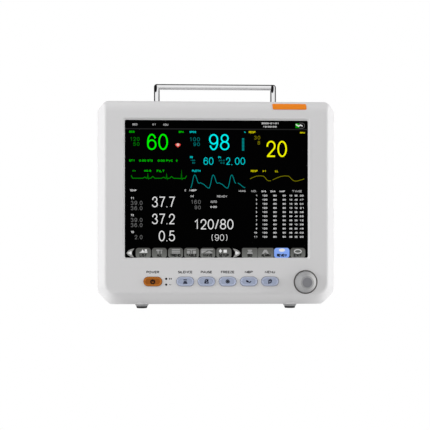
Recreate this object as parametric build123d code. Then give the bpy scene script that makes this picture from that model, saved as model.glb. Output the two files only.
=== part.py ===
from build123d import *
import os

# Bedside patient monitor with a 12.1 inch display.  Units are millimetres.
# The front faces -Y, +X is the viewer's right, +Z is up, and the feet stand on z = 0.

# ---- housing ----
HALF_WIDTH = 160.6
BODY_BOTTOM = 5.6
BODY_TOP = 279.5
FACE_Y = -65.0
REAR_Y = 83.0
WALL = 3.0
FACE_HALF_WIDTH = 149.2
FACE_BOTTOM = 20.4
FACE_TOP = 263.5
FACE_CORNER_R = 16.0
FACE_EDGE_R = 5.0
BEVEL_SLOPE = 0.6
BEVEL_SECANT = 1.166
TOP_BEVEL_DEPTH = 13.0
TOP_CHAMFER_X = 14.6
TOP_CHAMFER_Z = 12.0
BOTTOM_CHAMFER = 16.0
OUTLINE_R = 5.0
SHOULDER_FRONT_Y = -15.0
SHOULDER_REAR_Y = 0.0
REAR_HALF_WIDTH = 150.0
REAR_TOP = 254.0
REAR_CORNER_R = 12.0
SEAM_FRONT_Y = -27.0
SEAM_REAR_Y = -26.2

# ---- display ----
SCREEN_Z = 160.8
OPENING_WIDTH = 245.0
OPENING_HEIGHT = 183.8
LIP_WIDTH = 2.4
WINDOW_WIDTH = 255.0
WINDOW_HEIGHT = 194.0
WINDOW_FRONT_Y = -62.0
WINDOW_REAR_Y = -60.0
MODULE_WIDTH = 260.5
MODULE_HEIGHT = 204.0
MODULE_FRONT_Y = -59.0
MODULE_REAR_Y = -50.6
PANEL_FRONT_Y = -58.4
PANEL_REAR_Y = -56.0
BRACKET_REAR_Y = -49.4

# ---- alarm lamp ----
LAMP_X0 = 75.2
LAMP_X1 = 120.4
LAMP_Z0 = 267.2
LAMP_Z1 = 275.4
LAMP_SHEAR = -0.6

# ---- keys ----
KEY_Z = 37.3
POWER_KEY_LENGTH = 24.2
BLUE_KEY_LENGTH = 22.8
KEY_HEIGHT = 11.9
KEY_CLEARANCE = 0.5
KEY_FRONT_Y = -66.6
KEY_FLANGE = 1.3
KEY_STEM_END_Y = -57.5
POWER_KEY_X = -85.1
BLUE_KEY_X0 = -42.0
BLUE_KEY_PITCH = 28.3
STATUS_X = -67.3
STATUS_Z = (33.1, 40.8)
STATUS_R = 1.25
SWITCH_TOP_Y = -56.6
SWITCH_BASE_Y = -51.5
KEY_BOARD_REAR_Y = -49.9

# ---- knob and encoder ----
KNOB_X = 118.9
KNOB_Z = 36.4
RING_R = 16.0
RING_BORE_R = 14.7
KNOB_R = 14.2
KNOB_TIP_R = 8.6
KNOB_TIP_Y = -83.0
KNOB_REAR_Y = -64.4
KNOB_FLOOR_Y = -63.5
CAP_R = 6.6
SHAFT_R = 3.0
SHAFT_BORE_R = 3.05
ENCODER_FRONT_Y = -60.5
ENCODER_REAR_Y = -52.5

# ---- carrying handle ----
HANDLE_X = 82.8
HANDLE_Y = 5.0
PIVOT_Z = 270.0
HANDLE_R = 4.0
HANDLE_BAR_Z = 311.0
EYE_R = 5.0
EYE_HALF = 4.1
CHEEK_IN = 4.4
CHEEK_OUT = 7.4
PIN_R = 2.5
PIN_BORE_R = 2.56
PAD_Z = 262.0
BRACKET_BASE_Z = 264.5

# ---- fastening ----
CORNER_X = 138.0
CORNER_Z = (22.0, 238.0)
BOSS_R = 5.0
WELL_R = 6.5
WELL_BORE_R = 4.5
PLATE_FRONT_Y = -12.0
PLATE_REAR_Y = -10.5
WELL_FLOOR_Y = -7.5
SCREW_R = 1.95
INSERT_R = 3.0
INSERT_BORE_R = 2.0
INSERT_LENGTH = 10.0
PATTERN_HALF = 50.0
PATTERN_Z = 140.0

# ---- left side sensor panel ----
SENSOR_Y = 42.0
PANEL_HALF_Y = 27.0
SENSOR_Z0 = 66.0
SENSOR_Z1 = 234.0
ECG_Z = 212.0
SPO2_Z = 179.0
TEMP_Z = (151.0, 130.0)
NIBP_Z = 88.0
SENSOR_BOARD_X = -133.0

# ---- rear connector recess ----
RECESS_X0 = -128.0
RECESS_X1 = -22.0
RECESS_Z0 = 24.0
RECESS_Z1 = 72.0
RECESS_Y = 75.0
INLET_X = -96.0
INLET_Z = 48.0
FUSE_X = -64.0
FUSE_Z = (38.0, 58.0)
TERMINAL_X = -39.0
TERMINAL_Z = 59.0
NETWORK_X = -39.0
NETWORK_Z = 38.0

# ---- battery bay on the right side ----
BATTERY_X0 = 12.0
BATTERY_X1 = 142.0
BATTERY_Y0 = 13.0
BATTERY_Y1 = 73.0
BATTERY_Z0 = 33.0
BATTERY_Z1 = 55.0
DOOR_Y0 = 11.5
DOOR_Y1 = 74.5
DOOR_Z1 = 57.0
DOOR_AXIS_X = 148.4
DOOR_AXIS_Z = 30.4
DOOR_BARREL_R = 1.6
DOOR_PIN_R = 0.8

# ---- feet ----
FOOT_X = 101.4
FOOT_Y = (-36.0, 62.0)
FOOT_TOP_R = 9.6
FOOT_WAIST_R = 7.9
FOOT_BOTTOM_R = 6.9
FOOT_SPLIT_Z = 2.8
FOOT_EDGE_R = 0.9

SIDES = (-1, 1)


def block(x0, x1, y0, y1, z0, z1):
    centre = Pos((x0 + x1) / 2, (y0 + y1) / 2, (z0 + z1) / 2)
    return centre * Box(x1 - x0, y1 - y0, z1 - z0)


def rod_x(y, z, r, x0, x1):
    return Pos((x0 + x1) / 2, y, z) * Rot(0, 90, 0) * Cylinder(r, x1 - x0)


def rod_y(x, z, r, y0, y1):
    return Pos(x, (y0 + y1) / 2, z) * Rot(90, 0, 0) * Cylinder(r, y1 - y0)


def rod_z(x, y, r, z0, z1):
    return Pos(x, y, (z0 + z1) / 2) * Cylinder(r, z1 - z0)


def cone_y(x, z, y0, r0, y1, r1):
    return Pos(x, (y0 + y1) / 2, z) * Rot(-90, 0, 0) * Cone(r0, r1, y1 - y0)


def cone_z(x, y, z0, r0, z1, r1):
    return Pos(x, y, (z0 + z1) / 2) * Cone(r0, r1, z1 - z0)


def front_plane(y):
    return Plane(origin=(0, y, 0), x_dir=(1, 0, 0), z_dir=(0, -1, 0))


def front_prism(face, y0, y1):
    return extrude(front_plane(y1) * face, y1 - y0)


def side_prism(face, x0, x1):
    plane = Plane(origin=(x0, 0, 0), x_dir=(0, 1, 0), z_dir=(1, 0, 0))
    return extrude(plane * face, x1 - x0)


def polygon(points):
    return make_face(Polyline(*points, close=True))


def rectangle(half_x, z0, z1, r=0.0):
    face = Pos(0, (z0 + z1) / 2) * Rectangle(2 * half_x, z1 - z0)
    return fillet(face.vertices(), r) if r else face


def stadium(x, z, length, height):
    return Pos(x, z) * SlotOverall(length, height)


def hexagon_y(x, z, across_flats, y0, y1):
    return front_prism(Pos(x, z) * RegularPolygon(across_flats / 2, 6, major_radius=False), y0, y1)


def front_section(y, inset):
    grow = BEVEL_SLOPE * (y - FACE_Y) - BEVEL_SECANT * inset
    half = FACE_HALF_WIDTH + grow
    bottom = FACE_BOTTOM - grow
    face = polygon([(-half, bottom), (half, bottom), (half, 300), (-half, 300)])
    low = face.vertices().sort_by(Axis.Y)[:2]
    return front_plane(y) * fillet(low, FACE_CORNER_R + grow)


def outline(inset):
    half = HALF_WIDTH - inset
    low = BODY_BOTTOM + inset
    high = BODY_TOP - inset
    face = polygon([
        (-half + BOTTOM_CHAMFER, low),
        (half - BOTTOM_CHAMFER, low),
        (half, low + BOTTOM_CHAMFER),
        (half, high - TOP_CHAMFER_Z),
        (half - TOP_CHAMFER_X, high),
        (-half + TOP_CHAMFER_X, high),
        (-half, high - TOP_CHAMFER_Z),
        (-half, low + BOTTOM_CHAMFER),
    ])
    return fillet(face.vertices(), OUTLINE_R)


def side_profile(inset):
    front = FACE_Y + inset
    rear = REAR_Y - inset
    low = BODY_BOTTOM + inset
    high = BODY_TOP - inset
    bevel_y = FACE_Y + TOP_BEVEL_DEPTH
    arc = EllipticalCenterArc(
        (bevel_y, FACE_TOP), TOP_BEVEL_DEPTH - inset, high - FACE_TOP, start_angle=90, arc_size=90)
    lines = Polyline(
        (front, FACE_TOP),
        (front, low),
        (rear - 8, low),
        (rear, low + 8),
        (rear, REAR_TOP - 10 - inset),
        (rear - 10, REAR_TOP - inset),
        (-4 - 0.4 * inset, PAD_Z - 0.5 - inset),
        (-20 - 0.4 * inset, high),
        (bevel_y, high),
    )
    return make_face([arc] + list(lines.edges()))


def plan_prism(inset):
    wide = HALF_WIDTH + 5
    narrow = REAR_HALF_WIDTH - inset
    rear = REAR_Y - inset
    face = polygon([
        (-wide, -90),
        (wide, -90),
        (wide, SHOULDER_FRONT_Y - inset - 5 * 1.5),
        (narrow, SHOULDER_REAR_Y - inset * 0.3),
        (narrow, rear),
        (-narrow, rear),
        (-narrow, SHOULDER_REAR_Y - inset * 0.3),
        (-wide, SHOULDER_FRONT_Y - inset - 5 * 1.5),
    ])
    rear_corners = face.vertices().sort_by(Axis.Y)[-2:]
    return extrude(fillet(rear_corners, REAR_CORNER_R - inset), 320)


def housing(inset):
    start = FACE_Y + inset
    cone = loft([front_section(start, inset), front_section(-35, inset)], ruled=True)
    cone += block(-165, 165, -35, 90, 0, 300)
    solid = cone & front_prism(outline(inset), -90, 90)
    solid = solid & side_prism(side_profile(inset), -170, 170)
    return solid & plan_prism(inset)


outer = housing(0)
face_edges = outer.edges().filter_by(lambda e: e.bounding_box().max.Y < FACE_Y + 0.01)
outer = fillet(face_edges.filter_by(lambda e: e.center().Z < FACE_TOP - 1), FACE_EDGE_R)
inner = housing(WALL)
shell = outer - inner

# ================= front bezel =================
bezel = shell & block(-170, 170, -90, SEAM_FRONT_Y, 0, 300)
lip_outer = housing(WALL + 0.15)
lip_inner = housing(WALL + 1.8)
lip = (lip_outer - lip_inner) & block(-170, 170, SEAM_FRONT_Y - 4, SEAM_FRONT_Y + 5, 0, 300)
lip_root = (outer - lip_inner) & block(-170, 170, SEAM_FRONT_Y - 4, SEAM_FRONT_Y, 0, 300)
core = housing(1.0)

screen_z0 = SCREEN_Z - OPENING_HEIGHT / 2
screen_z1 = SCREEN_Z + OPENING_HEIGHT / 2
lip_front = front_plane(FACE_Y - 0.01) * rectangle(
    OPENING_WIDTH / 2 + LIP_WIDTH, screen_z0 - LIP_WIDTH, screen_z1 + LIP_WIDTH, 3.4)
lip_back = front_plane(WINDOW_FRONT_Y + 0.01) * rectangle(OPENING_WIDTH / 2, screen_z0, screen_z1, 2.0)
screen_opening = loft([lip_front, lip_back], ruled=True)

lcd_posts = [(x, z) for z, xs in ((53.5, (-110, 110)), (268.5, (-50, 50))) for x in xs]
board_posts = [(x, z) for x in (-98, -5.5, 85) for z in (26.5, 48.5)]
posts = [rod_y(s * CORNER_X, z, BOSS_R, FACE_Y + 1, PLATE_FRONT_Y) for s in SIDES for z in CORNER_Z]
posts += [rod_y(x, z, 3.2, FACE_Y + 1, MODULE_REAR_Y) for x, z in lcd_posts]
posts += [rod_y(x, z, 2.6, FACE_Y + 1, SWITCH_BASE_Y) for x, z in board_posts]
knob_boss = rod_y(KNOB_X, KNOB_Z, 18.0, FACE_Y + 1, ENCODER_FRONT_Y)

blue_keys = [BLUE_KEY_X0 + n * BLUE_KEY_PITCH for n in range(5)]
key_positions = [POWER_KEY_X] + blue_keys
key_lengths = [POWER_KEY_LENGTH] + [BLUE_KEY_LENGTH] * len(blue_keys)

bezel = bezel + lip + lip_root
for post in posts + [knob_boss]:
    bezel += post & core
bezel -= screen_opening
for x, length in zip(key_positions, key_lengths):
    hole = stadium(x, KEY_Z, length + 2 * KEY_CLEARANCE, KEY_HEIGHT + 2 * KEY_CLEARANCE)
    bezel -= front_prism(hole, FACE_Y - 1, FACE_Y + 6)
for z in STATUS_Z:
    bezel -= rod_y(STATUS_X, z, STATUS_R, FACE_Y - 1, FACE_Y + 6)
bezel -= rod_y(KNOB_X, KNOB_Z, RING_R, FACE_Y - 1, KNOB_FLOOR_Y)
bezel -= rod_y(KNOB_X, KNOB_Z, 3.6, FACE_Y, ENCODER_FRONT_Y + 1)
for s in SIDES:
    for z in CORNER_Z:
        bezel -= rod_y(s * CORNER_X, z, INSERT_R, PLATE_FRONT_Y - INSERT_LENGTH, PLATE_FRONT_Y + 1)
        bezel -= rod_y(s * CORNER_X, z, 2.2, PLATE_FRONT_Y - 18, PLATE_FRONT_Y - INSERT_LENGTH)
for x, z in lcd_posts:
    bezel -= rod_y(x, z, 1.25, MODULE_REAR_Y - 7, MODULE_REAR_Y + 1)
for x, z in board_posts:
    bezel -= rod_y(x, z, 1.25, SWITCH_BASE_Y - 7, SWITCH_BASE_Y + 1)


def lamp_outline(grow):
    shear = LAMP_SHEAR
    face = polygon([
        (LAMP_X0 - grow, LAMP_Z0 - grow),
        (LAMP_X1 + grow, LAMP_Z0 - grow),
        (LAMP_X1 + shear + grow, LAMP_Z1 + grow),
        (LAMP_X0 + shear - grow, LAMP_Z1 + grow),
    ])
    return fillet(face.vertices(), 1.6 + grow * 0.5)


bezel -= front_prism(lamp_outline(0.15), -80, -48)
lens = (housing(-0.5) - inner) & front_prism(lamp_outline(0), -80, -48)
lens += (inner - housing(WALL + 1.2)) & front_prism(lamp_outline(1.2), -80, -48)

# ================= display stack =================
window = front_prism(
    rectangle(WINDOW_WIDTH / 2, SCREEN_Z - WINDOW_HEIGHT / 2, SCREEN_Z + WINDOW_HEIGHT / 2, 2.0),
    WINDOW_FRONT_Y, WINDOW_REAR_Y)
gasket_outer = rectangle(WINDOW_WIDTH / 2, SCREEN_Z - WINDOW_HEIGHT / 2, SCREEN_Z + WINDOW_HEIGHT / 2, 2.0)
gasket_inner = rectangle(
    OPENING_WIDTH / 2 + 1.2, screen_z0 - 1.2, screen_z1 + 1.2, 1.0)
gasket = front_prism(gasket_outer - gasket_inner, WINDOW_REAR_Y, MODULE_FRONT_Y)

module_z0 = SCREEN_Z - MODULE_HEIGHT / 2
module_z1 = SCREEN_Z + MODULE_HEIGHT / 2
half_module = MODULE_WIDTH / 2
lcd_frame = block(-half_module, half_module, MODULE_FRONT_Y, MODULE_REAR_Y, module_z0, module_z1)
lcd_frame -= block(
    -half_module + 1, half_module - 1, PANEL_FRONT_Y, MODULE_REAR_Y + 1, module_z0 + 1, module_z1 - 1)
lcd_frame -= block(-124.2, 124.2, MODULE_FRONT_Y - 1, PANEL_FRONT_Y + 1, SCREEN_Z - 93.4, SCREEN_Z + 93.4)
lcd_panel = block(
    -half_module + 1, half_module - 1, PANEL_FRONT_Y, PANEL_REAR_Y, module_z0 + 1, module_z1 - 1)
lcd_backlight = block(
    -half_module + 1, half_module - 1, PANEL_REAR_Y, MODULE_REAR_Y, module_z0 + 1, module_z1 - 1)

lcd_bracket = block(-126, 126, MODULE_REAR_Y, BRACKET_REAR_Y, module_z0 + 2, module_z1 - 2)
for x, z in lcd_posts:
    tab_z0 = min(z - 4, SCREEN_Z)
    tab_z1 = max(z + 4, SCREEN_Z)
    lcd_bracket += block(x - 6, x + 6, MODULE_REAR_Y, BRACKET_REAR_Y, tab_z0, tab_z1)
for x in (-80, 0, 80):
    lcd_bracket -= block(x - 30, x + 30, MODULE_REAR_Y - 1, BRACKET_REAR_Y + 1, 90, 235)
for x, z in lcd_posts:
    lcd_bracket -= rod_y(x, z, 1.6, MODULE_REAR_Y - 1, BRACKET_REAR_Y + 1)

alarm_led_board = block(68, 128, -49.4, -47.8, 265, 275)
for n in range(6):
    x = 80 + n * 7.2
    alarm_led_board += block(x - 1.6, x + 1.6, -50.6, -49.4, 268.5, 271.5)
for x in (70, 126):
    bezel += block(x - 2, x + 2, -49.4, -44, 274, 278)
    bezel -= block(x - 3, x + 3, -49.41, -47.79, 270, 275.01)

# ================= keys =================


def key(x, length):
    cap = front_prism(stadium(x, KEY_Z, length, KEY_HEIGHT), KEY_FRONT_Y, WINDOW_FRONT_Y + 0.2)
    cap = chamfer(cap.faces().sort_by(Axis.Y)[0].edges(), 0.5)
    dish_front = front_plane(KEY_FRONT_Y - 0.01) * stadium(x, KEY_Z, length - 3.0, KEY_HEIGHT - 3.0)
    dish_floor = front_plane(KEY_FRONT_Y + 0.7) * stadium(x, KEY_Z, length - 4.6, KEY_HEIGHT - 4.6)
    cap -= loft([dish_front, dish_floor], ruled=True)
    flange = stadium(x, KEY_Z, length + 2 * KEY_FLANGE, KEY_HEIGHT + 2 * KEY_FLANGE)
    cap += front_prism(flange, WINDOW_FRONT_Y + 0.2, WINDOW_FRONT_Y + 1.2)
    return cap + rod_y(x, KEY_Z, 2.0, WINDOW_FRONT_Y + 1.2, KEY_STEM_END_Y)


key_board = block(-102, 90, SWITCH_BASE_Y, KEY_BOARD_REAR_Y, 24, 51)
for x, z in board_posts:
    key_board -= rod_y(x, z, 1.6, SWITCH_BASE_Y - 1, KEY_BOARD_REAR_Y + 1)
tact_switches = []
for x in key_positions:
    switch = block(x - 3, x + 3, SWITCH_BASE_Y - 3.5, SWITCH_BASE_Y, KEY_Z - 3, KEY_Z + 3)
    tact_switches.append(switch + rod_y(x, KEY_Z, 1.7, SWITCH_TOP_Y, SWITCH_BASE_Y - 3.5))
light_pipes = [rod_y(STATUS_X, z, STATUS_R, FACE_Y - 0.2, SWITCH_BASE_Y) for z in STATUS_Z]

# ================= knob and encoder =================
ring = rod_y(KNOB_X, KNOB_Z, RING_R, FACE_Y - 1.0, KNOB_FLOOR_Y)
ring = chamfer(ring.faces().sort_by(Axis.Y)[0].edges(), 0.4)
ring -= rod_y(KNOB_X, KNOB_Z, RING_BORE_R, FACE_Y - 2, KNOB_FLOOR_Y + 1)

knob = rod_y(KNOB_X, KNOB_Z, KNOB_R, -67.0, KNOB_REAR_Y)
knob += cone_y(KNOB_X, KNOB_Z, KNOB_TIP_Y + 0.6, KNOB_TIP_R, -67.0, KNOB_R)
knob -= cone_y(KNOB_X, KNOB_Z, -79.0, KNOB_TIP_R - 1.6, KNOB_REAR_Y + 0.01, KNOB_R - 1.8)
knob += rod_y(KNOB_X, KNOB_Z, 4.8, -79.2, -67.6)
knob -= rod_y(KNOB_X, KNOB_Z, SHAFT_R, -79.0, -60)
knob -= rod_y(KNOB_X, KNOB_Z, CAP_R, KNOB_TIP_Y - 1, KNOB_TIP_Y + 1.8)
knob_cap = rod_y(KNOB_X, KNOB_Z, CAP_R, KNOB_TIP_Y, KNOB_TIP_Y + 1.8)
knob_cap = fillet(knob_cap.faces().sort_by(Axis.Y)[0].edges(), 0.8)

encoder_body = block(KNOB_X - 7, KNOB_X + 7, ENCODER_FRONT_Y, ENCODER_REAR_Y, KNOB_Z - 7, KNOB_Z + 7)
encoder_body += rod_y(KNOB_X, KNOB_Z, 3.5, -66.4, ENCODER_FRONT_Y)
encoder_body -= rod_y(KNOB_X, KNOB_Z, SHAFT_BORE_R, -67, ENCODER_FRONT_Y + 2)
encoder_body -= rod_y(KNOB_X, KNOB_Z, 5.4, ENCODER_FRONT_Y + 1.2, ENCODER_REAR_Y - 1.2)
encoder_nut = hexagon_y(KNOB_X, KNOB_Z, 10.0, KNOB_FLOOR_Y - 2.0, KNOB_FLOOR_Y)
encoder_nut -= rod_y(KNOB_X, KNOB_Z, 3.5, KNOB_FLOOR_Y - 3, KNOB_FLOOR_Y + 1)


def d_rod(r, flat, y0, y1):
    rod = rod_y(KNOB_X, KNOB_Z, r, y0, y1)
    return rod - block(KNOB_X - 4, KNOB_X + 4, y0 - 1, y1 + 1, KNOB_Z + flat, KNOB_Z + 5)


encoder_rotor = rod_y(KNOB_X, KNOB_Z, 5.0, ENCODER_FRONT_Y + 1.5, ENCODER_REAR_Y - 2.6)
encoder_rotor -= d_rod(SHAFT_BORE_R, 1.55, ENCODER_FRONT_Y + 1, ENCODER_REAR_Y)
encoder_shaft = rod_y(KNOB_X, KNOB_Z, SHAFT_R, -79.0, ENCODER_FRONT_Y + 0.6)
encoder_shaft += d_rod(SHAFT_R, 1.5, ENCODER_FRONT_Y + 0.6, ENCODER_REAR_Y - 2.2)

# ================= rear casing =================
casing = shell & block(-170, 170, SEAM_REAR_Y, 90, 0, 300)
seal_band = block(-170, 170, SEAM_FRONT_Y, SEAM_REAR_Y, 0, 300)
seal = (core - housing(2.4)) & seal_band

for s in SIDES:
    pad = block(s * HANDLE_X - 16, s * HANDLE_X + 16, -4, 24, PAD_Z - 12, PAD_Z)
    casing += pad - block(-120, 120, -30, 60, 0, PAD_Z - 9)
for s in SIDES:
    for z in CORNER_Z:
        casing += rod_y(s * CORNER_X, z, WELL_R, PLATE_REAR_Y, REAR_Y - 1)
        wall_x = s * (REAR_HALF_WIDTH - 1)
        casing += block(
            min(s * CORNER_X, wall_x), max(s * CORNER_X, wall_x), 5, REAR_Y - 8, z - 1, z + 1)
for x in (-PATTERN_HALF, PATTERN_HALF):
    for z in (PATTERN_Z - PATTERN_HALF, PATTERN_Z + PATTERN_HALF):
        casing += rod_y(x, z, 6.0, REAR_Y - INSERT_LENGTH - 2, REAR_Y - 1)
        casing -= rod_y(x, z, INSERT_R, REAR_Y - INSERT_LENGTH, REAR_Y + 1)
for s in SIDES:
    for z in CORNER_Z:
        casing -= rod_y(s * CORNER_X, z, WELL_BORE_R, WELL_FLOOR_Y, REAR_Y + 1)
        casing -= rod_y(s * CORNER_X, z, 2.2, PLATE_REAR_Y - 1, WELL_FLOOR_Y)

# Connector recess in the rear wall.
casing += block(
    RECESS_X0 - WALL, RECESS_X1 + WALL, RECESS_Y - WALL, REAR_Y - 1, RECESS_Z0 - WALL, RECESS_Z1 + WALL) & core
casing -= block(RECESS_X0, RECESS_X1, RECESS_Y, REAR_Y + 1, RECESS_Z0, RECESS_Z1)
casing -= block(INLET_X - 13.7, INLET_X + 13.7, 70, 80, INLET_Z - 10, INLET_Z + 10)
for z in FUSE_Z:
    casing -= rod_y(FUSE_X, z, 5.6, 70, 80)
casing -= rod_y(TERMINAL_X, TERMINAL_Z, 3.0, 70, 80)
casing -= block(NETWORK_X - 8, NETWORK_X + 8, 70, 80, NETWORK_Z - 7, NETWORK_Z + 7)

# Battery bay, open to the right side wall.
bay = block(
    BATTERY_X0 - 4, REAR_HALF_WIDTH - 2, BATTERY_Y0 - 3, BATTERY_Y1 + 3, BATTERY_Z0 - 2, BATTERY_Z1 + 3)
bay -= block(
    BATTERY_X0 - 0.01, REAR_HALF_WIDTH + 5, BATTERY_Y0 - 0.5, BATTERY_Y1 + 0.5, BATTERY_Z0, BATTERY_Z1 + 0.7)
casing += bay
casing -= block(
    REAR_HALF_WIDTH - WALL - 0.6, REAR_HALF_WIDTH + 5, DOOR_Y0, DOOR_Y1, DOOR_AXIS_Z - 2.6, DOOR_Z1)
casing -= block(REAR_HALF_WIDTH - 1.2, REAR_HALF_WIDTH + 5, 36, 50, DOOR_Z1 - 1, DOOR_Z1 + 4)
casing -= rod_y(DOOR_AXIS_X, DOOR_AXIS_Z, DOOR_PIN_R, DOOR_Y0 - 3, DOOR_Y1 + 3)

# Sensor panel window in the left side wall.
casing -= block(
    -REAR_HALF_WIDTH - 5, -REAR_HALF_WIDTH + WALL + 1, SENSOR_Y - PANEL_HALF_Y, SENSOR_Y + PANEL_HALF_Y,
    SENSOR_Z0, SENSOR_Z1)

# Ventilation slots, speaker grille and handle screw holes.
for n in range(14):
    x = -112 + n * 7.0
    casing -= block(x, x + 3, REAR_Y - WALL - 1, REAR_Y + 1, 208, 236)
for n in range(9):
    x = 65 + n * 5.0
    casing -= block(x - 1.1, x + 1.1, REAR_Y - WALL - 1, REAR_Y + 1, 200, 232)
handle_screw_points = [(s * HANDLE_X + d, 13.0) for s in SIDES for d in (-11, 11)]
for x, y in handle_screw_points:
    casing -= rod_z(x, y, 1.5, PAD_Z - 8, PAD_Z + 1)
for x in (-FOOT_X, FOOT_X):
    for y in FOOT_Y:
        target = rod_z(x, y, 1.5, BODY_BOTTOM - 1, BODY_BOTTOM + 6)
        casing -= target
        bezel -= target

# ================= handle =================
leg_z = PIVOT_Z + 3.0
handle = rod_x(HANDLE_Y, HANDLE_BAR_Z, HANDLE_R, -HANDLE_X, HANDLE_X)
for s in SIDES:
    handle += rod_z(s * HANDLE_X, HANDLE_Y, HANDLE_R, leg_z, HANDLE_BAR_Z)
    handle += Pos(s * HANDLE_X, HANDLE_Y, HANDLE_BAR_Z) * Sphere(HANDLE_R)
for s in SIDES:
    handle += rod_x(HANDLE_Y, PIVOT_Z, EYE_R, s * HANDLE_X - EYE_HALF, s * HANDLE_X + EYE_HALF)
for s in SIDES:
    handle -= rod_x(HANDLE_Y, PIVOT_Z, PIN_BORE_R, s * HANDLE_X - 6, s * HANDLE_X + 6)


def handle_bracket(x):
    body = block(x - 14.5, x + 14.5, -2, 18, PAD_Z, BRACKET_BASE_Z)
    body = fillet(body.edges().filter_by(Axis.Z), 3)
    for s in SIDES:
        inner_x = x + s * CHEEK_IN
        outer_x = x + s * CHEEK_OUT
        low = min(inner_x, outer_x)
        high = max(inner_x, outer_x)
        body += rod_x(HANDLE_Y, PIVOT_Z, 6.0, low, high)
        body += block(low, high, HANDLE_Y - 6, HANDLE_Y + 6, BRACKET_BASE_Z - 1, PIVOT_Z)
    body -= rod_x(HANDLE_Y, PIVOT_Z, PIN_R, x - 10, x + 10)
    for d in (-11, 11):
        body -= rod_z(x + d, 13.0, 1.7, PAD_Z - 1, BRACKET_BASE_Z + 1)
    return body


def handle_pin(x):
    pin = rod_x(HANDLE_Y, PIVOT_Z, PIN_R, x - CHEEK_OUT, x + CHEEK_OUT)
    for s in SIDES:
        near = x + s * CHEEK_OUT
        far = near + s * 1.2
        pin += rod_x(HANDLE_Y, PIVOT_Z, 3.6, min(near, far), max(near, far))
    return pin


handle_screws = []
for x, y in handle_screw_points:
    screw = rod_z(x, y, 2.7, BRACKET_BASE_Z, BRACKET_BASE_Z + 1.8)
    screw += rod_z(x, y, 1.5, PAD_Z - 7, BRACKET_BASE_Z)
    screw -= block(x - 0.4, x + 0.4, y - 2, y + 2, BRACKET_BASE_Z + 1.0, BRACKET_BASE_Z + 2)
    handle_screws.append(screw)

# ================= chassis and boards =================
plate = block(-144, 144, PLATE_FRONT_Y, PLATE_REAR_Y, 16, 244)
for x, z0, z1 in ((-60, 185, 232), (0, 185, 232), (60, 185, 232), (60, 80, 130)):
    plate -= block(x - 20, x + 20, PLATE_FRONT_Y - 1, PLATE_REAR_Y + 1, z0, z1)
main_board_posts = [(x, z) for x in (-104, 104) for z in (78, 175)]
power_board_posts = [(x, z) for x in (-120, -20) for z in (82, 112)]
for x, z in main_board_posts:
    plate += rod_y(x, z, 2.6, PLATE_FRONT_Y - 8.4, PLATE_FRONT_Y)
for x, z in power_board_posts:
    plate += rod_y(x, z, 2.6, PLATE_REAR_Y, PLATE_REAR_Y + 6)
for s in SIDES:
    for z in CORNER_Z:
        plate -= rod_y(s * CORNER_X, z, 2.2, PLATE_FRONT_Y - 1, PLATE_REAR_Y + 1)
for x, z in main_board_posts:
    plate -= rod_y(x, z, 1.25, PLATE_FRONT_Y - 9, PLATE_FRONT_Y)
for x, z in power_board_posts:
    plate -= rod_y(x, z, 1.25, PLATE_REAR_Y, PLATE_REAR_Y + 7)

main_board = block(-110, 110, PLATE_FRONT_Y - 10, PLATE_FRONT_Y - 8.4, 72, 181)
for x, z in main_board_posts:
    main_board -= rod_y(x, z, 1.6, -30, -10)
heat_sink = block(-30, 10, -26.5, PLATE_FRONT_Y - 10, 110, 150)
for n in range(9):
    x = -29 + n * 4.6
    heat_sink += block(x, x + 1.4, -38, -26.5, 110, 150)

power_board = block(-126, -14, PLATE_REAR_Y + 6, PLATE_REAR_Y + 7.6, 76, 118)
for x, z in power_board_posts:
    power_board -= rod_y(x, z, 1.6, PLATE_REAR_Y + 5, PLATE_REAR_Y + 9)
board_face_y = PLATE_REAR_Y + 7.6
transformer = block(-96, -56, board_face_y, board_face_y + 30, 82, 112)
transformer += block(-101, -51, board_face_y + 8, board_face_y + 22, 85, 109)

# ================= blood pressure pneumatics =================
pump_x = -96.0
pump_y = PLATE_REAR_Y + 14.0
nibp_pump = rod_z(pump_x, pump_y, 13.5, 128, 160)
nibp_pump += rod_z(pump_x, pump_y, 14.0, 160, 180)
nibp_pump += block(pump_x - 9, pump_x + 9, PLATE_REAR_Y, pump_y, 132, 176)
nibp_pump += rod_z(pump_x, pump_y, 2.0, 180, 188)
nibp_valve = block(-66, -46, PLATE_REAR_Y, PLATE_REAR_Y + 18, 136, 162)
nibp_valve += rod_z(-56, PLATE_REAR_Y + 9, 2.0, 162, 172)

hose_path = FilletPolyline(
    (-138.5, SENSOR_Y, NIBP_Z),
    (-112, SENSOR_Y, NIBP_Z),
    (-112, SENSOR_Y, 196),
    (pump_x, pump_y, 196),
    (pump_x, pump_y, 183),
    radius=6,
)
hose_start = Plane(origin=(-138.5, SENSOR_Y, NIBP_Z), z_dir=(1, 0, 0))
nibp_hose = sweep(hose_start * Circle(3.2), path=hose_path)
branch_path = FilletPolyline(
    (-112, SENSOR_Y, 150),
    (-56, SENSOR_Y, 150),
    (-56, SENSOR_Y, 182),
    (-56, PLATE_REAR_Y + 9, 182),
    (-56, PLATE_REAR_Y + 9, 166),
    radius=6,
)
branch_start = Plane(origin=(-112, SENSOR_Y, 150), z_dir=(1, 0, 0))
nibp_hose += sweep(branch_start * Circle(3.2), path=branch_path)
nibp_hose -= rod_z(pump_x, pump_y, 2.0, 180, 188)
nibp_hose -= rod_z(-56, PLATE_REAR_Y + 9, 2.0, 162, 172)

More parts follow.
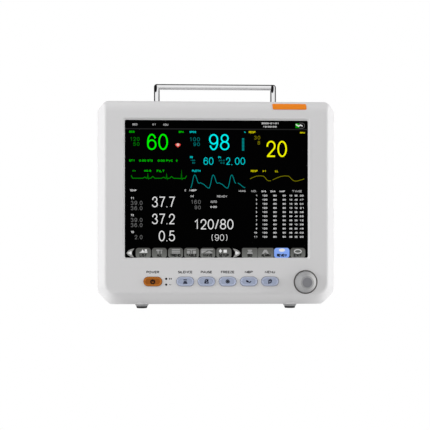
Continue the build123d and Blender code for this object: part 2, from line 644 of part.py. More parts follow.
# ================= sensor panel =================
wall_out = -REAR_HALF_WIDTH
wall_in = -REAR_HALF_WIDTH + WALL
sensor_panel = block(
    wall_out - 0.8, wall_in, SENSOR_Y - PANEL_HALF_Y + 0.15, SENSOR_Y + PANEL_HALF_Y - 0.15,
    SENSOR_Z0 + 0.15, SENSOR_Z1 - 0.15)
sensor_panel += block(
    wall_in, wall_in + 1.6, SENSOR_Y - PANEL_HALF_Y - 2, SENSOR_Y + PANEL_HALF_Y + 2, SENSOR_Z0 - 2, SENSOR_Z1 + 2)
sensor_posts = [(y, z) for y in (SENSOR_Y - 24, SENSOR_Y + 24) for z in (116, 228)]
for y, z in sensor_posts:
    sensor_panel += rod_x(y, z, 2.6, wall_in, SENSOR_BOARD_X)
    sensor_panel -= rod_x(y, z, 1.25, wall_in + 4, SENSOR_BOARD_X + 1)
round_sockets = ((ECG_Z, 11.0), (SPO2_Z, 9.0), (TEMP_Z[0], 6.0), (TEMP_Z[1], 6.0), (NIBP_Z, 6.5))
for z, r in round_sockets:
    sensor_panel -= rod_x(SENSOR_Y, z, r, wall_out - 2, wall_in + 3)


def socket(z, flange_r, body_r, bore_r, x_front, x_floor, x_rear):
    part = rod_x(SENSOR_Y, z, flange_r, x_front, wall_out - 0.8)
    part += rod_x(SENSOR_Y, z, body_r, wall_out - 0.8, x_rear)
    return part - rod_x(SENSOR_Y, z, bore_r, x_front - 1, x_floor)


ecg_socket = socket(ECG_Z, 13.0, 11.0, 8.2, -157.0, -143.0, SENSOR_BOARD_X)
spo2_socket = socket(SPO2_Z, 11.0, 9.0, 6.4, -157.0, -143.0, SENSOR_BOARD_X)
temp_sockets = [socket(z, 7.6, 6.0, 3.2, -155.0, -137.0, SENSOR_BOARD_X) for z in TEMP_Z]
nibp_port = socket(NIBP_Z, 9.0, 6.5, 4.2, -159.0, -145.0, -141.0)
nibp_port += rod_x(SENSOR_Y, NIBP_Z, 2.2, -141.0, -133.0)
nibp_port -= rod_x(SENSOR_Y, NIBP_Z, 1.2, -146.0, -132.0)
nibp_hose -= rod_x(SENSOR_Y, NIBP_Z, 2.2, -141.0, -133.0)

parameter_board = block(SENSOR_BOARD_X, SENSOR_BOARD_X + 1.6, SENSOR_Y - 28, SENSOR_Y + 28, 111, 233)
for y, z in sensor_posts:
    parameter_board -= rod_x(y, z, 1.6, SENSOR_BOARD_X - 1, SENSOR_BOARD_X + 3)
parameter_board += block(SENSOR_BOARD_X + 1.6, SENSOR_BOARD_X + 5, SENSOR_Y - 10, SENSOR_Y + 12, 165, 190)

# ================= battery =================
battery_pack = block(BATTERY_X0, BATTERY_X1, BATTERY_Y0, BATTERY_Y1, BATTERY_Z0, BATTERY_Z1)
battery_pack = fillet(battery_pack.edges().filter_by(Axis.X), 2.5)
battery_door = block(
    REAR_HALF_WIDTH - 2.6, REAR_HALF_WIDTH, DOOR_Y0 + 0.3, DOOR_Y1 - 0.3, DOOR_AXIS_Z, DOOR_Z1 - 0.3)
battery_door += rod_y(DOOR_AXIS_X, DOOR_AXIS_Z, DOOR_BARREL_R, DOOR_Y0 + 0.3, DOOR_Y1 - 0.3)
battery_door += block(BATTERY_X1 + 0.8, REAR_HALF_WIDTH - 2.6, 40, 46, 40, 48)
battery_door -= rod_y(DOOR_AXIS_X, DOOR_AXIS_Z, DOOR_PIN_R + 0.06, DOOR_Y0 - 1, DOOR_Y1 + 1)
battery_door_pin = rod_y(DOOR_AXIS_X, DOOR_AXIS_Z, DOOR_PIN_R, DOOR_Y0 - 3, DOOR_Y1 + 3)

# ================= rear connectors =================
power_inlet = block(INLET_X - 15.6, INLET_X + 15.6, RECESS_Y, RECESS_Y + 3, INLET_Z - 12, INLET_Z + 12)
power_inlet += block(INLET_X - 13.7, INLET_X + 13.7, 53, RECESS_Y, INLET_Z - 10, INLET_Z + 10)
cavity = Pos(INLET_X, INLET_Z) * Rectangle(24.4, 16.4)
cavity = chamfer(cavity.vertices().sort_by(Axis.Y)[-2:], 4.5)
power_inlet -= front_prism(cavity, 61, RECESS_Y + 4)
inlet_pins = []
for dx, dz in ((-7, -3.2), (0, 0.8), (7, -3.2)):
    x = INLET_X + dx
    z = INLET_Z + dz
    inlet_pins.append(block(x - 1, x + 1, 61, 75, z - 2, z + 2))

fuse_holders = []
for z in FUSE_Z:
    holder = rod_y(FUSE_X, z, 5.6, 46, RECESS_Y)
    holder += rod_y(FUSE_X, z, 7.4, RECESS_Y, RECESS_Y + 3.4)
    holder -= block(FUSE_X - 5, FUSE_X + 5, RECESS_Y + 2.2, RECESS_Y + 4, z - 0.8, z + 0.8)
    fuse_holders.append(holder)

ground_terminal = rod_y(TERMINAL_X, TERMINAL_Z, 3.0, 66, RECESS_Y + 6.5)
ground_terminal += hexagon_y(TERMINAL_X, TERMINAL_Z, 11.0, RECESS_Y, RECESS_Y + 2.5)
network_socket = block(NETWORK_X - 8, NETWORK_X + 8, 60, RECESS_Y + 2, NETWORK_Z - 7, NETWORK_Z + 7)
network_socket -= block(NETWORK_X - 6, NETWORK_X + 6, 64, RECESS_Y + 3, NETWORK_Z - 4.5, NETWORK_Z + 3.5)
network_socket -= block(NETWORK_X - 3, NETWORK_X + 3, 64, RECESS_Y + 3, NETWORK_Z + 3.4, NETWORK_Z + 5.6)

speaker = rod_y(85, 216, 25.0, 76, REAR_Y - WALL)
speaker += cone_y(85, 216, 66, 13.0, 76, 22.0)
speaker += rod_y(85, 216, 14.0, 58, 66)

# ================= feet, screws and inserts =================
foot_cups = []
foot_pads = []
for x in (-FOOT_X, FOOT_X):
    for y in FOOT_Y:
        cup = cone_z(x, y, FOOT_SPLIT_Z, FOOT_WAIST_R, BODY_BOTTOM, FOOT_TOP_R)
        cup += rod_z(x, y, FOOT_TOP_R, BODY_BOTTOM, BODY_BOTTOM + 3) - outer
        foot_cups.append(cup + rod_z(x, y, 1.5, BODY_BOTTOM, BODY_BOTTOM + 5))
        pad = cone_z(x, y, 0, FOOT_BOTTOM_R, FOOT_SPLIT_Z, FOOT_WAIST_R - 0.2)
        foot_pads.append(fillet(pad.edges().group_by(Axis.Z)[0], FOOT_EDGE_R))

casing_screws = []
threaded_inserts = []
for s in SIDES:
    for z in CORNER_Z:
        screw = rod_y(s * CORNER_X, z, 3.9, WELL_FLOOR_Y, WELL_FLOOR_Y + 2.6)
        screw += rod_y(s * CORNER_X, z, SCREW_R, WELL_FLOOR_Y - 20, WELL_FLOOR_Y)
        screw -= hexagon_y(s * CORNER_X, z, 3.0, WELL_FLOOR_Y + 1.2, WELL_FLOOR_Y + 3)
        casing_screws.append(screw)
        insert = rod_y(s * CORNER_X, z, INSERT_R, PLATE_FRONT_Y - INSERT_LENGTH, PLATE_FRONT_Y)
        insert -= rod_y(s * CORNER_X, z, INSERT_BORE_R, -40, 0)
        threaded_inserts.append(insert)
for x in (-PATTERN_HALF, PATTERN_HALF):
    for z in (PATTERN_Z - PATTERN_HALF, PATTERN_Z + PATTERN_HALF):
        insert = rod_y(x, z, INSERT_R, REAR_Y - INSERT_LENGTH, REAR_Y)
        threaded_inserts.append(insert - rod_y(x, z, INSERT_BORE_R, 60, 90))

board_screws = []
rear_facing = [(x, z, BRACKET_REAR_Y) for x, z in lcd_posts]
rear_facing += [(x, z, KEY_BOARD_REAR_Y) for x, z in board_posts]
rear_facing += [(x, z, PLATE_REAR_Y + 7.6) for x, z in power_board_posts]
for x, z, y in rear_facing:
    board_screws.append(rod_y(x, z, 2.4, y, y + 1.6) + rod_y(x, z, 1.25, y - 6, y))
for x, z in main_board_posts:
    y = PLATE_FRONT_Y - 10
    board_screws.append(rod_y(x, z, 2.4, y - 1.6, y) + rod_y(x, z, 1.25, y, y + 6))
for y, z in sensor_posts:
    x = SENSOR_BOARD_X + 1.6
    board_screws.append(rod_x(y, z, 2.4, x, x + 1.6) + rod_x(y, z, 1.25, x - 6, x))

parts = {
    "front_bezel": bezel,
    "screen_window": window,
    "window_gasket": gasket,
    "lcd_frame": lcd_frame,
    "lcd_panel": lcd_panel,
    "lcd_backlight": lcd_backlight,
    "lcd_bracket": lcd_bracket,
    "alarm_lamp_lens": lens,
    "alarm_led_board": alarm_led_board,
    "power_button": key(POWER_KEY_X, POWER_KEY_LENGTH),
    "silence_button": key(blue_keys[0], BLUE_KEY_LENGTH),
    "pause_button": key(blue_keys[1], BLUE_KEY_LENGTH),
    "freeze_button": key(blue_keys[2], BLUE_KEY_LENGTH),
    "nibp_button": key(blue_keys[3], BLUE_KEY_LENGTH),
    "menu_button": key(blue_keys[4], BLUE_KEY_LENGTH),
    "key_board": key_board,
    "tact_switches": Compound(tact_switches),
    "status_light_pipes": Compound(light_pipes),
    "knob": knob,
    "knob_cap": knob_cap,
    "knob_trim_ring": ring,
    "encoder_body": encoder_body,
    "encoder_rotor": encoder_rotor,
    "encoder_shaft": encoder_shaft,
    "encoder_nut": encoder_nut,
    "casing_seal": seal,
    "rear_casing": casing,
    "handle": handle,
    "handle_bracket_left": handle_bracket(-HANDLE_X),
    "handle_bracket_right": handle_bracket(HANDLE_X),
    "handle_pins": Compound([handle_pin(s * HANDLE_X) for s in SIDES]),
    "handle_screws": Compound(handle_screws),
    "sensor_panel": sensor_panel,
    "ecg_socket": ecg_socket,
    "spo2_socket": spo2_socket,
    "temp_sockets": Compound(temp_sockets),
    "nibp_port": nibp_port,
    "battery_door": battery_door,
    "battery_door_pin": battery_door_pin,
    "battery_pack": battery_pack,
    "power_inlet": power_inlet,
    "inlet_pins": Compound(inlet_pins),
    "fuse_holders": Compound(fuse_holders),
    "ground_terminal": ground_terminal,
    "network_socket": network_socket,
    "chassis_plate": plate,
    "main_board": main_board,
    "heat_sink": heat_sink,
    "parameter_board": parameter_board,
    "power_supply_board": power_board,
    "transformer": transformer,
    "nibp_pump": nibp_pump,
    "nibp_valve": nibp_valve,
    "nibp_hose": nibp_hose,
    "speaker": speaker,
    "casing_screws": Compound(casing_screws),
    "threaded_inserts": Compound(threaded_inserts),
    "board_screws": Compound(board_screws),
    "foot_cups": Compound(foot_cups),
    "foot_pads": Compound(foot_pads),
}

os.makedirs("parts", exist_ok=True)
for name, shape in parts.items():
    export_step(shape, f"parts/{name}.step")
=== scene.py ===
import math

import bmesh
import bpy
from mathutils import Matrix, Vector


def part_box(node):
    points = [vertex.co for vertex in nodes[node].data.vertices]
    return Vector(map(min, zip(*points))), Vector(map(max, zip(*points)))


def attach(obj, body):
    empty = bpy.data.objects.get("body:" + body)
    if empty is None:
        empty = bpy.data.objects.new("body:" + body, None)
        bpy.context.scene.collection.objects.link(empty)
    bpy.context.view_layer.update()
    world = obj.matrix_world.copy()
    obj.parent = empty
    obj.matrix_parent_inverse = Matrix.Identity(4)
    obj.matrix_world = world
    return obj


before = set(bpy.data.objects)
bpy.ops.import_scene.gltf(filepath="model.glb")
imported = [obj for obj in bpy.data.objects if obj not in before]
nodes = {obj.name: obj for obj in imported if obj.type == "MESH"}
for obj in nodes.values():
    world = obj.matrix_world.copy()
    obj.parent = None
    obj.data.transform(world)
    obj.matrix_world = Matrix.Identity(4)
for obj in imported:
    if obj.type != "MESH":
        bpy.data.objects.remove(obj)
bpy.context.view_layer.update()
MM = 0.001
# Marks start a hair inside or outside the face they lie on, so that the two never flicker.
HAIR = 0.01 * MM
NOISE_MIDDLE = (0.3, 0.7)
BLACK = (0.0, 0.0, 0.0)


# ---------------------------------------------------------------- materials
def shader(name, color, roughness, metallic=0.0, **sockets):
    """A new material with one Principled shader; returns (material, nodes, links, shader)."""
    material = bpy.data.materials.new(name)
    material.use_nodes = True
    tree = material.node_tree
    principled = tree.nodes["Principled BSDF"]
    principled.inputs["Base Color"].default_value = (*color, 1.0)
    principled.inputs["Roughness"].default_value = roughness
    principled.inputs["Metallic"].default_value = metallic
    for socket, value in sockets.items():
        principled.inputs[socket.replace("_", " ")].default_value = value
    material.diffuse_color = (*color, 1.0)
    return material, tree.nodes, tree.links, principled


def position(made):
    """Object coordinates: the shaded point's place in the CAD frame, in metres."""
    return made.new("ShaderNodeTexCoord").outputs["Object"]


def noise(node_list, links, scale, detail=3.0, stretch=None):
    """Object-space noise; stretch scales the axes, for brushed or drawn metal."""
    texture = node_list.new("ShaderNodeTexNoise")
    texture.inputs["Scale"].default_value = scale
    texture.inputs["Detail"].default_value = detail
    source = position(node_list)
    if stretch:
        mapping = node_list.new("ShaderNodeMapping")
        mapping.inputs["Scale"].default_value = stretch
        links.new(source, mapping.inputs["Vector"])
        source = mapping.outputs["Vector"]
    links.new(source, texture.inputs["Vector"])
    return texture.outputs["Fac"]


def ramp(node_list, links, source, low, high):
    """Mixes two colours by a 0 to 1 value, or spreads the middle of its range over two numbers."""
    if isinstance(low, tuple):
        mix = node_list.new("ShaderNodeMix")
        mix.data_type = "RGBA"
        mix.inputs["A"].default_value = (*low, 1.0)
        mix.inputs["B"].default_value = (*high, 1.0)
        links.new(source, mix.inputs["Factor"])
        return mix.outputs["Result"]
    span = node_list.new("ShaderNodeMapRange")
    span.inputs["From Min"].default_value, span.inputs["From Max"].default_value = NOISE_MIDDLE
    span.inputs["To Min"].default_value = low
    span.inputs["To Max"].default_value = high
    links.new(source, span.inputs["Value"])
    return span.outputs["Result"]


def moulded(name, color, roughness=0.45, grain=2600.0, depth=0.00003, mottle=0.015, **sockets):
    """Moulded plastic or paint: fine spark-erosion grain, faint mottling, uneven sheen."""
    material, made, links, principled = shader(name, color, roughness, **sockets)
    soft = noise(made, links, 22.0, 4.0)
    dark = tuple(c * (1 - mottle) for c in color)
    light = tuple(min(1.0, c * (1 + mottle)) for c in color)
    links.new(ramp(made, links, soft, dark, light), principled.inputs["Base Color"])
    uneven = noise(made, links, 90.0, 3.0)
    links.new(
        ramp(made, links, uneven, roughness * 0.92, min(1.0, roughness * 1.08)),
        principled.inputs["Roughness"])
    bump = made.new("ShaderNodeBump")
    bump.inputs["Strength"].default_value = 0.35
    bump.inputs["Distance"].default_value = depth
    links.new(noise(made, links, grain, 2.0), bump.inputs["Height"])
    links.new(bump.outputs["Normal"], principled.inputs["Normal"])
    return material


def metal(name, color, roughness, stretch=(1, 1, 1), scale=400.0, spread=0.25):
    """Metal with drawn or brushed streaks along one axis."""
    material, made, links, principled = shader(name, color, roughness, 1.0)
    streaks = noise(made, links, scale, 4.0, stretch)
    links.new(
        ramp(made, links, streaks, roughness * (1 - spread), roughness * (1 + spread)),
        principled.inputs["Roughness"])
    dull = tuple(c * 0.93 for c in color)
    links.new(ramp(made, links, streaks, dull, color), principled.inputs["Base Color"])
    return material


def glowing(name, color):
    """A lit area of the display: even emission with the panel's faint cell-to-cell variation."""
    material, made, links, principled = shader(name, BLACK, 0.6, Specular_IOR_Level=0.0)
    cells = noise(made, links, 1500.0, 1.0)
    dim = tuple(c * 0.9 for c in color)
    links.new(ramp(made, links, cells, dim, color), principled.inputs["Emission Color"])
    principled.inputs["Emission Strength"].default_value = 1.0
    return material


def circuit_board(name):
    """Solder-masked board with a faint copper pattern showing through."""
    material, made, links, principled = shader(name, (0.012, 0.09, 0.035), 0.35)
    cells = made.new("ShaderNodeTexVoronoi")
    cells.distance = "MANHATTAN"
    cells.inputs["Scale"].default_value = 160.0
    links.new(position(made), cells.inputs["Vector"])
    links.new(
        ramp(made, links, cells.outputs["Distance"], (0.008, 0.06, 0.025), (0.03, 0.17, 0.07)),
        principled.inputs["Base Color"])
    return material


def calculate(made, links, operation, *values):
    """One Math node; each value is a number or the socket that gives it."""
    step = made.new("ShaderNodeMath")
    step.operation = operation
    for socket, value in zip(step.inputs, values):
        if isinstance(value, (int, float)):
            socket.default_value = value
        else:
            links.new(value, socket)
    return step.outputs["Value"]


def vector_step(made, links, operation, source, value=(0.0, 0.0, 0.0)):
    """One Vector Math node with a fixed second vector."""
    step = made.new("ShaderNodeVectorMath")
    step.operation = operation
    step.inputs[1].default_value = value
    links.new(source, step.inputs[0])
    return step.outputs["Vector"]


def parts(made, links, vector):
    """The sockets that give a vector's x, y and z."""
    split = made.new("ShaderNodeSeparateXYZ")
    links.new(vector, split.inputs["Vector"])
    return split.outputs


def fade(made, links, value, start, end):
    """0 at the start value, 1 at the end value, smooth between."""
    span = made.new("ShaderNodeMapRange")
    span.interpolation_type = "SMOOTHSTEP"
    span.inputs["From Min"].default_value = start
    span.inputs["From Max"].default_value = end
    links.new(value, span.inputs["Value"])
    return span.outputs["Result"]


def blend_color(material, factor, color):
    """Mixes a second base colour into a material."""
    tree = material.node_tree
    base = tree.nodes["Principled BSDF"].inputs["Base Color"]
    mix = tree.nodes.new("ShaderNodeMix")
    mix.data_type = "RGBA"
    tree.links.new(factor, mix.inputs["Factor"])
    tree.links.new(base.links[0].from_socket, mix.inputs["A"])
    mix.inputs["B"].default_value = (*color, 1.0)
    tree.links.new(mix.outputs["Result"], base)


def painted_sector_light(material, x, z, dark, light):
    """Painted light and shade by the direction round the Y axis through x, z: lighter towards the sides, most
    at the right.
    """
    made = material.node_tree.nodes
    links = material.node_tree.links
    offset = vector_step(made, links, "SUBTRACT", position(made), (x, 0.0, z))
    flat = vector_step(made, links, "MULTIPLY", offset, (1.0, 0.0, 1.0))
    side = parts(made, links, vector_step(made, links, "NORMALIZE", flat))["X"]
    square = calculate(made, links, "MULTIPLY", side, side)
    even = calculate(made, links, "MULTIPLY", square, PAINTED_LIGHT_BOTH_SIDES)
    sector = calculate(made, links, "MULTIPLY_ADD", side, PAINTED_LIGHT_RIGHT, even)
    links.new(ramp(made, links, sector, dark, light), made["Principled BSDF"].inputs["Base Color"])


def collar_finish(material, height, color):
    """Everything above the height takes the second colour, as a collar moulded with the bezel."""
    made = material.node_tree.nodes
    links = material.node_tree.links
    up = parts(made, links, position(made))["Z"]
    blend_color(material, calculate(made, links, "GREATER_THAN", up, height), color)


def painted_light_zone(material, sides, heights, color):
    """Blends in a second colour as painted light and shade: it starts at the first and is full at the second
    side and height.
    """
    made = material.node_tree.nodes
    links = material.node_tree.links
    point = parts(made, links, position(made))
    across = fade(made, links, calculate(made, links, "ABSOLUTE", point["X"]), *sides)
    along = fade(made, links, point["Z"], *heights)
    blend_color(material, calculate(made, links, "MULTIPLY", across, along), color)


def painted_reflection_ovals(material, middle, lean, half_size, color):
    """A painted reflection: an oval of a second colour on each side, at middle (x, z); both lie a lean
    towards -X.
    """
    made = material.node_tree.nodes
    links = material.node_tree.links
    point = parts(made, links, position(made))
    aside = calculate(made, links, "ABSOLUTE", calculate(made, links, "ADD", point["X"], lean))
    squares = []
    for value, centre, half in zip((aside, point["Z"]), middle, half_size):
        away = calculate(made, links, "DIVIDE", calculate(made, links, "SUBTRACT", value, centre), half)
        squares.append(calculate(made, links, "MULTIPLY", away, away))
    reach = calculate(made, links, "ADD", *squares)
    blend_color(material, fade(made, links, reach, OVAL_EDGE, OVAL_FULL), color)


def middle_of(node):
    """Middle of a CAD node's box, in metres."""
    low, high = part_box(node)
    return (low + high) / 2


GREY = (0.68, 0.675, 0.68)
FINE = 0.00001
LITTLE_SHINE = {"Specular_IOR_Level": 0.1}

# The bezel's lower corners are smoother than its face; their lighter colour is a painted highlight. Between
# them its lower edge is painted a little darker, a painted shade.
PAINTED_HIGHLIGHT_SIDES = (122 * MM, 152 * MM)
PAINTED_HIGHLIGHT_HEIGHTS = (30 * MM, 12 * MM)
PAINTED_SHADE_SIDES = (132 * MM, 112 * MM)
PAINTED_SHADE_HEIGHTS = (17 * MM, 5 * MM)
housing = moulded("housing_plastic", GREY, 0.42)
painted_light_zone(housing, PAINTED_HIGHLIGHT_SIDES, PAINTED_HIGHLIGHT_HEIGHTS, (0.84, 0.835, 0.84))
painted_light_zone(housing, PAINTED_SHADE_SIDES, PAINTED_SHADE_HEIGHTS, (0.60, 0.595, 0.60))

# Painted light and shade on the knob's face, as if lit from both sides and more from its right.
PAINTED_LIGHT_BOTH_SIDES = 0.6
PAINTED_LIGHT_RIGHT = 0.45
knob_middle = middle_of("knob")
knob_plastic = moulded("knob_plastic", (0.40, 0.40, 0.41), 0.42)
painted_sector_light(knob_plastic, knob_middle.x, knob_middle.z, (0.33, 0.33, 0.335), (0.45, 0.45, 0.445))

# The foot cups' collars take the bezel's grey above the body's lower edge.
FOOT_COLLAR_Z = 5.6 * MM
foot_plastic = moulded("foot_plastic", (0.28, 0.28, 0.285), 0.5)
collar_finish(foot_plastic, FOOT_COLLAR_Z, GREY)

# Dark ovals on the handle's polished elbows are a painted reflection of the dark side of the room.
ELBOW_MIDDLE = (82.8 * MM, 309.0 * MM)
ELBOW_LEAN = 1.4 * MM
ELBOW_HALF_SIZE = (2.0 * MM, 6.5 * MM)
OVAL_EDGE = 1.15
OVAL_FULL = 0.75
CHROME_COLOR = (0.86, 0.86, 0.87)
handle_chrome = metal("handle_chrome", CHROME_COLOR, 0.06, (1, 1, 0.02), 300.0, 0.2)
painted_reflection_ovals(handle_chrome, ELBOW_MIDDLE, ELBOW_LEAN, ELBOW_HALF_SIZE, (0.01, 0.01, 0.01))

casing = moulded("casing_plastic", (0.58, 0.575, 0.58), 0.5)
lamp = moulded("lamp_plastic", (0.84, 0.235, 0.017), 0.45, depth=FINE, mottle=0.02, **LITTLE_SHINE)
power_plastic = moulded(
    "power_key_plastic", (0.46, 0.15, 0.02), 0.4, depth=FINE, mottle=0.04, Specular_IOR_Level=0.12)
key_plastic = moulded("key_plastic", (0.42, 0.465, 0.60), 0.34, depth=FINE, mottle=0.02)
cap_plastic = moulded("knob_cap_plastic", (0.20, 0.20, 0.215), 0.4)
ring_plastic = moulded("ring_plastic", (0.10, 0.095, 0.09), 0.35)
black_plastic = moulded("black_plastic", (0.018, 0.018, 0.02), 0.4)
rubber = moulded("rubber", (0.022, 0.022, 0.023), 0.75, 900.0, 0.00006)
chrome = metal("chrome", CHROME_COLOR, 0.06, (1, 1, 0.02), 300.0, 0.2)
steel = metal("plated_steel", (0.62, 0.62, 0.63), 0.28, (0.05, 1, 1), 500.0)
sheet_steel = metal("sheet_steel", (0.55, 0.56, 0.57), 0.35, (0.02, 1, 1), 900.0)
aluminium = metal("aluminium", (0.72, 0.72, 0.74), 0.3, (1, 1, 0.05), 700.0)
brass = metal("brass", (0.72, 0.55, 0.24), 0.25, (1, 1, 1), 600.0)
dark_dots = moulded("status_light_plastic", (0.012, 0.01, 0.009), 0.6, depth=FINE, Specular_IOR_Level=0.05)
board = circuit_board("circuit_board")
bracket_paint = moulded("bracket_paint", (0.55, 0.55, 0.56), 0.35)
green_plastic = moulded("ecg_socket_plastic", (0.03, 0.20, 0.06), 0.35)
blue_plastic = moulded("spo2_socket_plastic", (0.02, 0.09, 0.32), 0.35)
brown_plastic = moulded("temp_socket_plastic", (0.14, 0.05, 0.02), 0.35)
hose_rubber = moulded("hose_rubber", (0.62, 0.61, 0.58), 0.4)
coil_tape = moulded("coil_tape", (0.62, 0.40, 0.05), 0.4, mottle=0.1)
panel_black = moulded(
    "panel_black", (0.0003, 0.0003, 0.0003), 0.5, depth=FINE, mottle=0.3, Specular_IOR_Level=0.0)
light_guide = moulded("light_guide", (0.7, 0.72, 0.7), 0.5)


def clear_sheet(name):
    """Nearly invisible glass with a faint uneven sheen."""
    material, made, links, principled = shader(
        name, (0.01, 0.01, 0.011), 0.2, Alpha=0.03, Specular_IOR_Level=0.0)
    links.new(ramp(made, links, noise(made, links, 60.0), 0.18, 0.24), principled.inputs["Roughness"])
    return material


window_glass = clear_sheet("window_glass")

FINISHES = {
    "front_bezel": housing,
    "rear_casing": casing,
    "sensor_panel": casing,
    "battery_door": casing,
    "screen_window": window_glass,
    "window_gasket": rubber,
    "casing_seal": rubber,
    "lcd_frame": sheet_steel,
    "lcd_bracket": sheet_steel,
    "chassis_plate": sheet_steel,
    "lcd_panel": panel_black,
    "lcd_backlight": light_guide,
    "alarm_lamp_lens": lamp,
    "power_button": power_plastic,
    "knob": knob_plastic,
    "knob_cap": cap_plastic,
    "knob_trim_ring": ring_plastic,
    "status_light_pipes": dark_dots,
    "handle": handle_chrome,
    "nibp_port": chrome,
    "handle_bracket_left": bracket_paint,
    "handle_bracket_right": bracket_paint,
    "ecg_socket": green_plastic,
    "spo2_socket": blue_plastic,
    "temp_sockets": brown_plastic,
    "heat_sink": aluminium,
    "transformer": coil_tape,
    "nibp_hose": hose_rubber,
    "foot_cups": foot_plastic,
    "foot_pads": rubber,
}
for key in ("silence", "pause", "freeze", "nibp", "menu"):
    FINISHES[key + "_button"] = key_plastic
for name in ("alarm_led_board", "key_board", "main_board", "parameter_board", "power_supply_board"):
    FINISHES[name] = board
for name in ("inlet_pins", "ground_terminal", "threaded_inserts"):
    FINISHES[name] = brass
for name in ("tact_switches", "encoder_body", "network_socket", "power_inlet", "fuse_holders",
             "speaker", "nibp_valve", "battery_pack"):
    FINISHES[name] = black_plastic
for name, node in nodes.items():
    node.data.materials.clear()
    node.data.materials.append(FINISHES.get(name, steel))


# ---------------------------------------------------------------- building helpers
def add_piece(name, mesh, material, body="monitor"):
    piece = bpy.data.objects.new(name, mesh)
    bpy.context.scene.collection.objects.link(piece)
    piece.data.materials.append(material)
    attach(piece, body)
    return piece


def finish_mesh(name, shape):
    mesh = bpy.data.meshes.new(name)
    shape.to_mesh(mesh)
    shape.free()
    return mesh


def front_plane(y):
    """Sketch axes to the front: drawing x to +X, drawing y to +Z, drawing z towards -Y."""
    return Matrix(((1, 0, 0, 0), (0, 0, -1, y), (0, 1, 0, 0), (0, 0, 0, 1)))


def rear_plane(y):
    """Sketch axes to the back: reads correctly from behind."""
    return Matrix(((-1, 0, 0, 0), (0, 0, 1, y), (0, 1, 0, 0), (0, 0, 0, 1)))


def left_plane(x):
    """Sketch axes to the left side: reads correctly from -X."""
    return Matrix(((0, 0, -1, x), (-1, 0, 0, 0), (0, 1, 0, 0), (0, 0, 0, 1)))


def prism(shape, loop, depth, plane):
    """Closed prism from a drawn outline, depth thick, sitting on the plane."""
    low = [shape.verts.new(plane @ Vector((x, y, 0.0))) for x, y in loop]
    high = [shape.verts.new(plane @ Vector((x, y, depth))) for x, y in loop]
    shape.faces.new(list(reversed(low)))
    shape.faces.new(high)
    count = len(loop)
    for n in range(count):
        m = (n + 1) % count
        shape.faces.new((low[n], low[m], high[m], high[n]))


def plate(name, loops, depth, plane, material, body="monitor"):
    shape = bmesh.new()
    for loop in loops:
        prism(shape, loop, depth, plane)
    return add_piece(name, finish_mesh(name, shape), material, body)


def bow(x, y, rx, ry, start, end, step=20):
    """Points along an elliptical bow, angles in degrees."""
    count = max(2, round(abs(end - start) / step))
    angles = [math.radians(start + (end - start) * n / count) for n in range(count + 1)]
    return [(x + rx * math.cos(a), y + ry * math.sin(a)) for a in angles]


def disc(x, y, r, steps=24):
    return bow(x, y, r, r, 0, 360, 360 / steps)[:-1]


def rounded(x0, x1, y0, y1, r):
    """Rounded rectangle outline."""
    corners = [(x1 - r, y1 - r, 0), (x0 + r, y1 - r, 90), (x0 + r, y0 + r, 180), (x1 - r, y0 + r, 270)]
    loop = []
    for x, y, start in corners:
        loop += bow(x, y, r, r, start, start + 90, 15)
    return loop


def edge_points(points, width, closed, sharpest=0.62):
    """The two edges of a line of even width, with mitred corners; sharpest limits their reach."""
    count = len(points)
    left = []
    right = []
    for n, point in enumerate(points):
        before = points[n - 1] if n or closed else point
        after = points[(n + 1) % count] if n < count - 1 or closed else point
        into = Vector(point) - Vector(before)
        out = Vector(after) - Vector(point)
        into = into.normalized() if into.length else out.normalized()
        out = out.normalized() if out.length else into
        ahead = (into + out).normalized() if (into + out).length > 0.01 else into
        reach = width / 2 / max(ahead.dot(into), sharpest)
        across = Vector((-ahead.y, ahead.x)) * reach
        left.append((point[0] + across.x, point[1] + across.y))
        right.append((point[0] - across.x, point[1] - across.y))
    return left, right


def ribbon(shape, points, width, depth, plane):
    """Closed solid line of even width; a path that ends where it starts becomes a ring."""
    closed = (Vector(points[0]) - Vector(points[-1])).length < width * 0.05
    if closed:
        points = points[:-1]
    left, right = edge_points(points, width, closed)
    rows = []
    for (lx, ly), (rx, ry) in zip(left, right):
        corners = ((lx, ly, 0), (rx, ry, 0), (rx, ry, depth), (lx, ly, depth))
        rows.append([shape.verts.new(plane @ Vector(corner)) for corner in corners])
    for n in range(len(rows) if closed else len(rows) - 1):
        near = rows[n]
        far = rows[(n + 1) % len(rows)]
        for m in range(4):
            k = (m + 1) % 4
            shape.faces.new((near[m], near[k], far[k], far[m]))
    if not closed:
        shape.faces.new(list(reversed(rows[0])))
        shape.faces.new(rows[-1])


def lines(name, paths, width, depth, plane, material, body="monitor"):
    shape = bmesh.new()
    for path in paths:
        ribbon(shape, path, width, depth, plane)
    return add_piece(name, finish_mesh(name, shape), material, body)


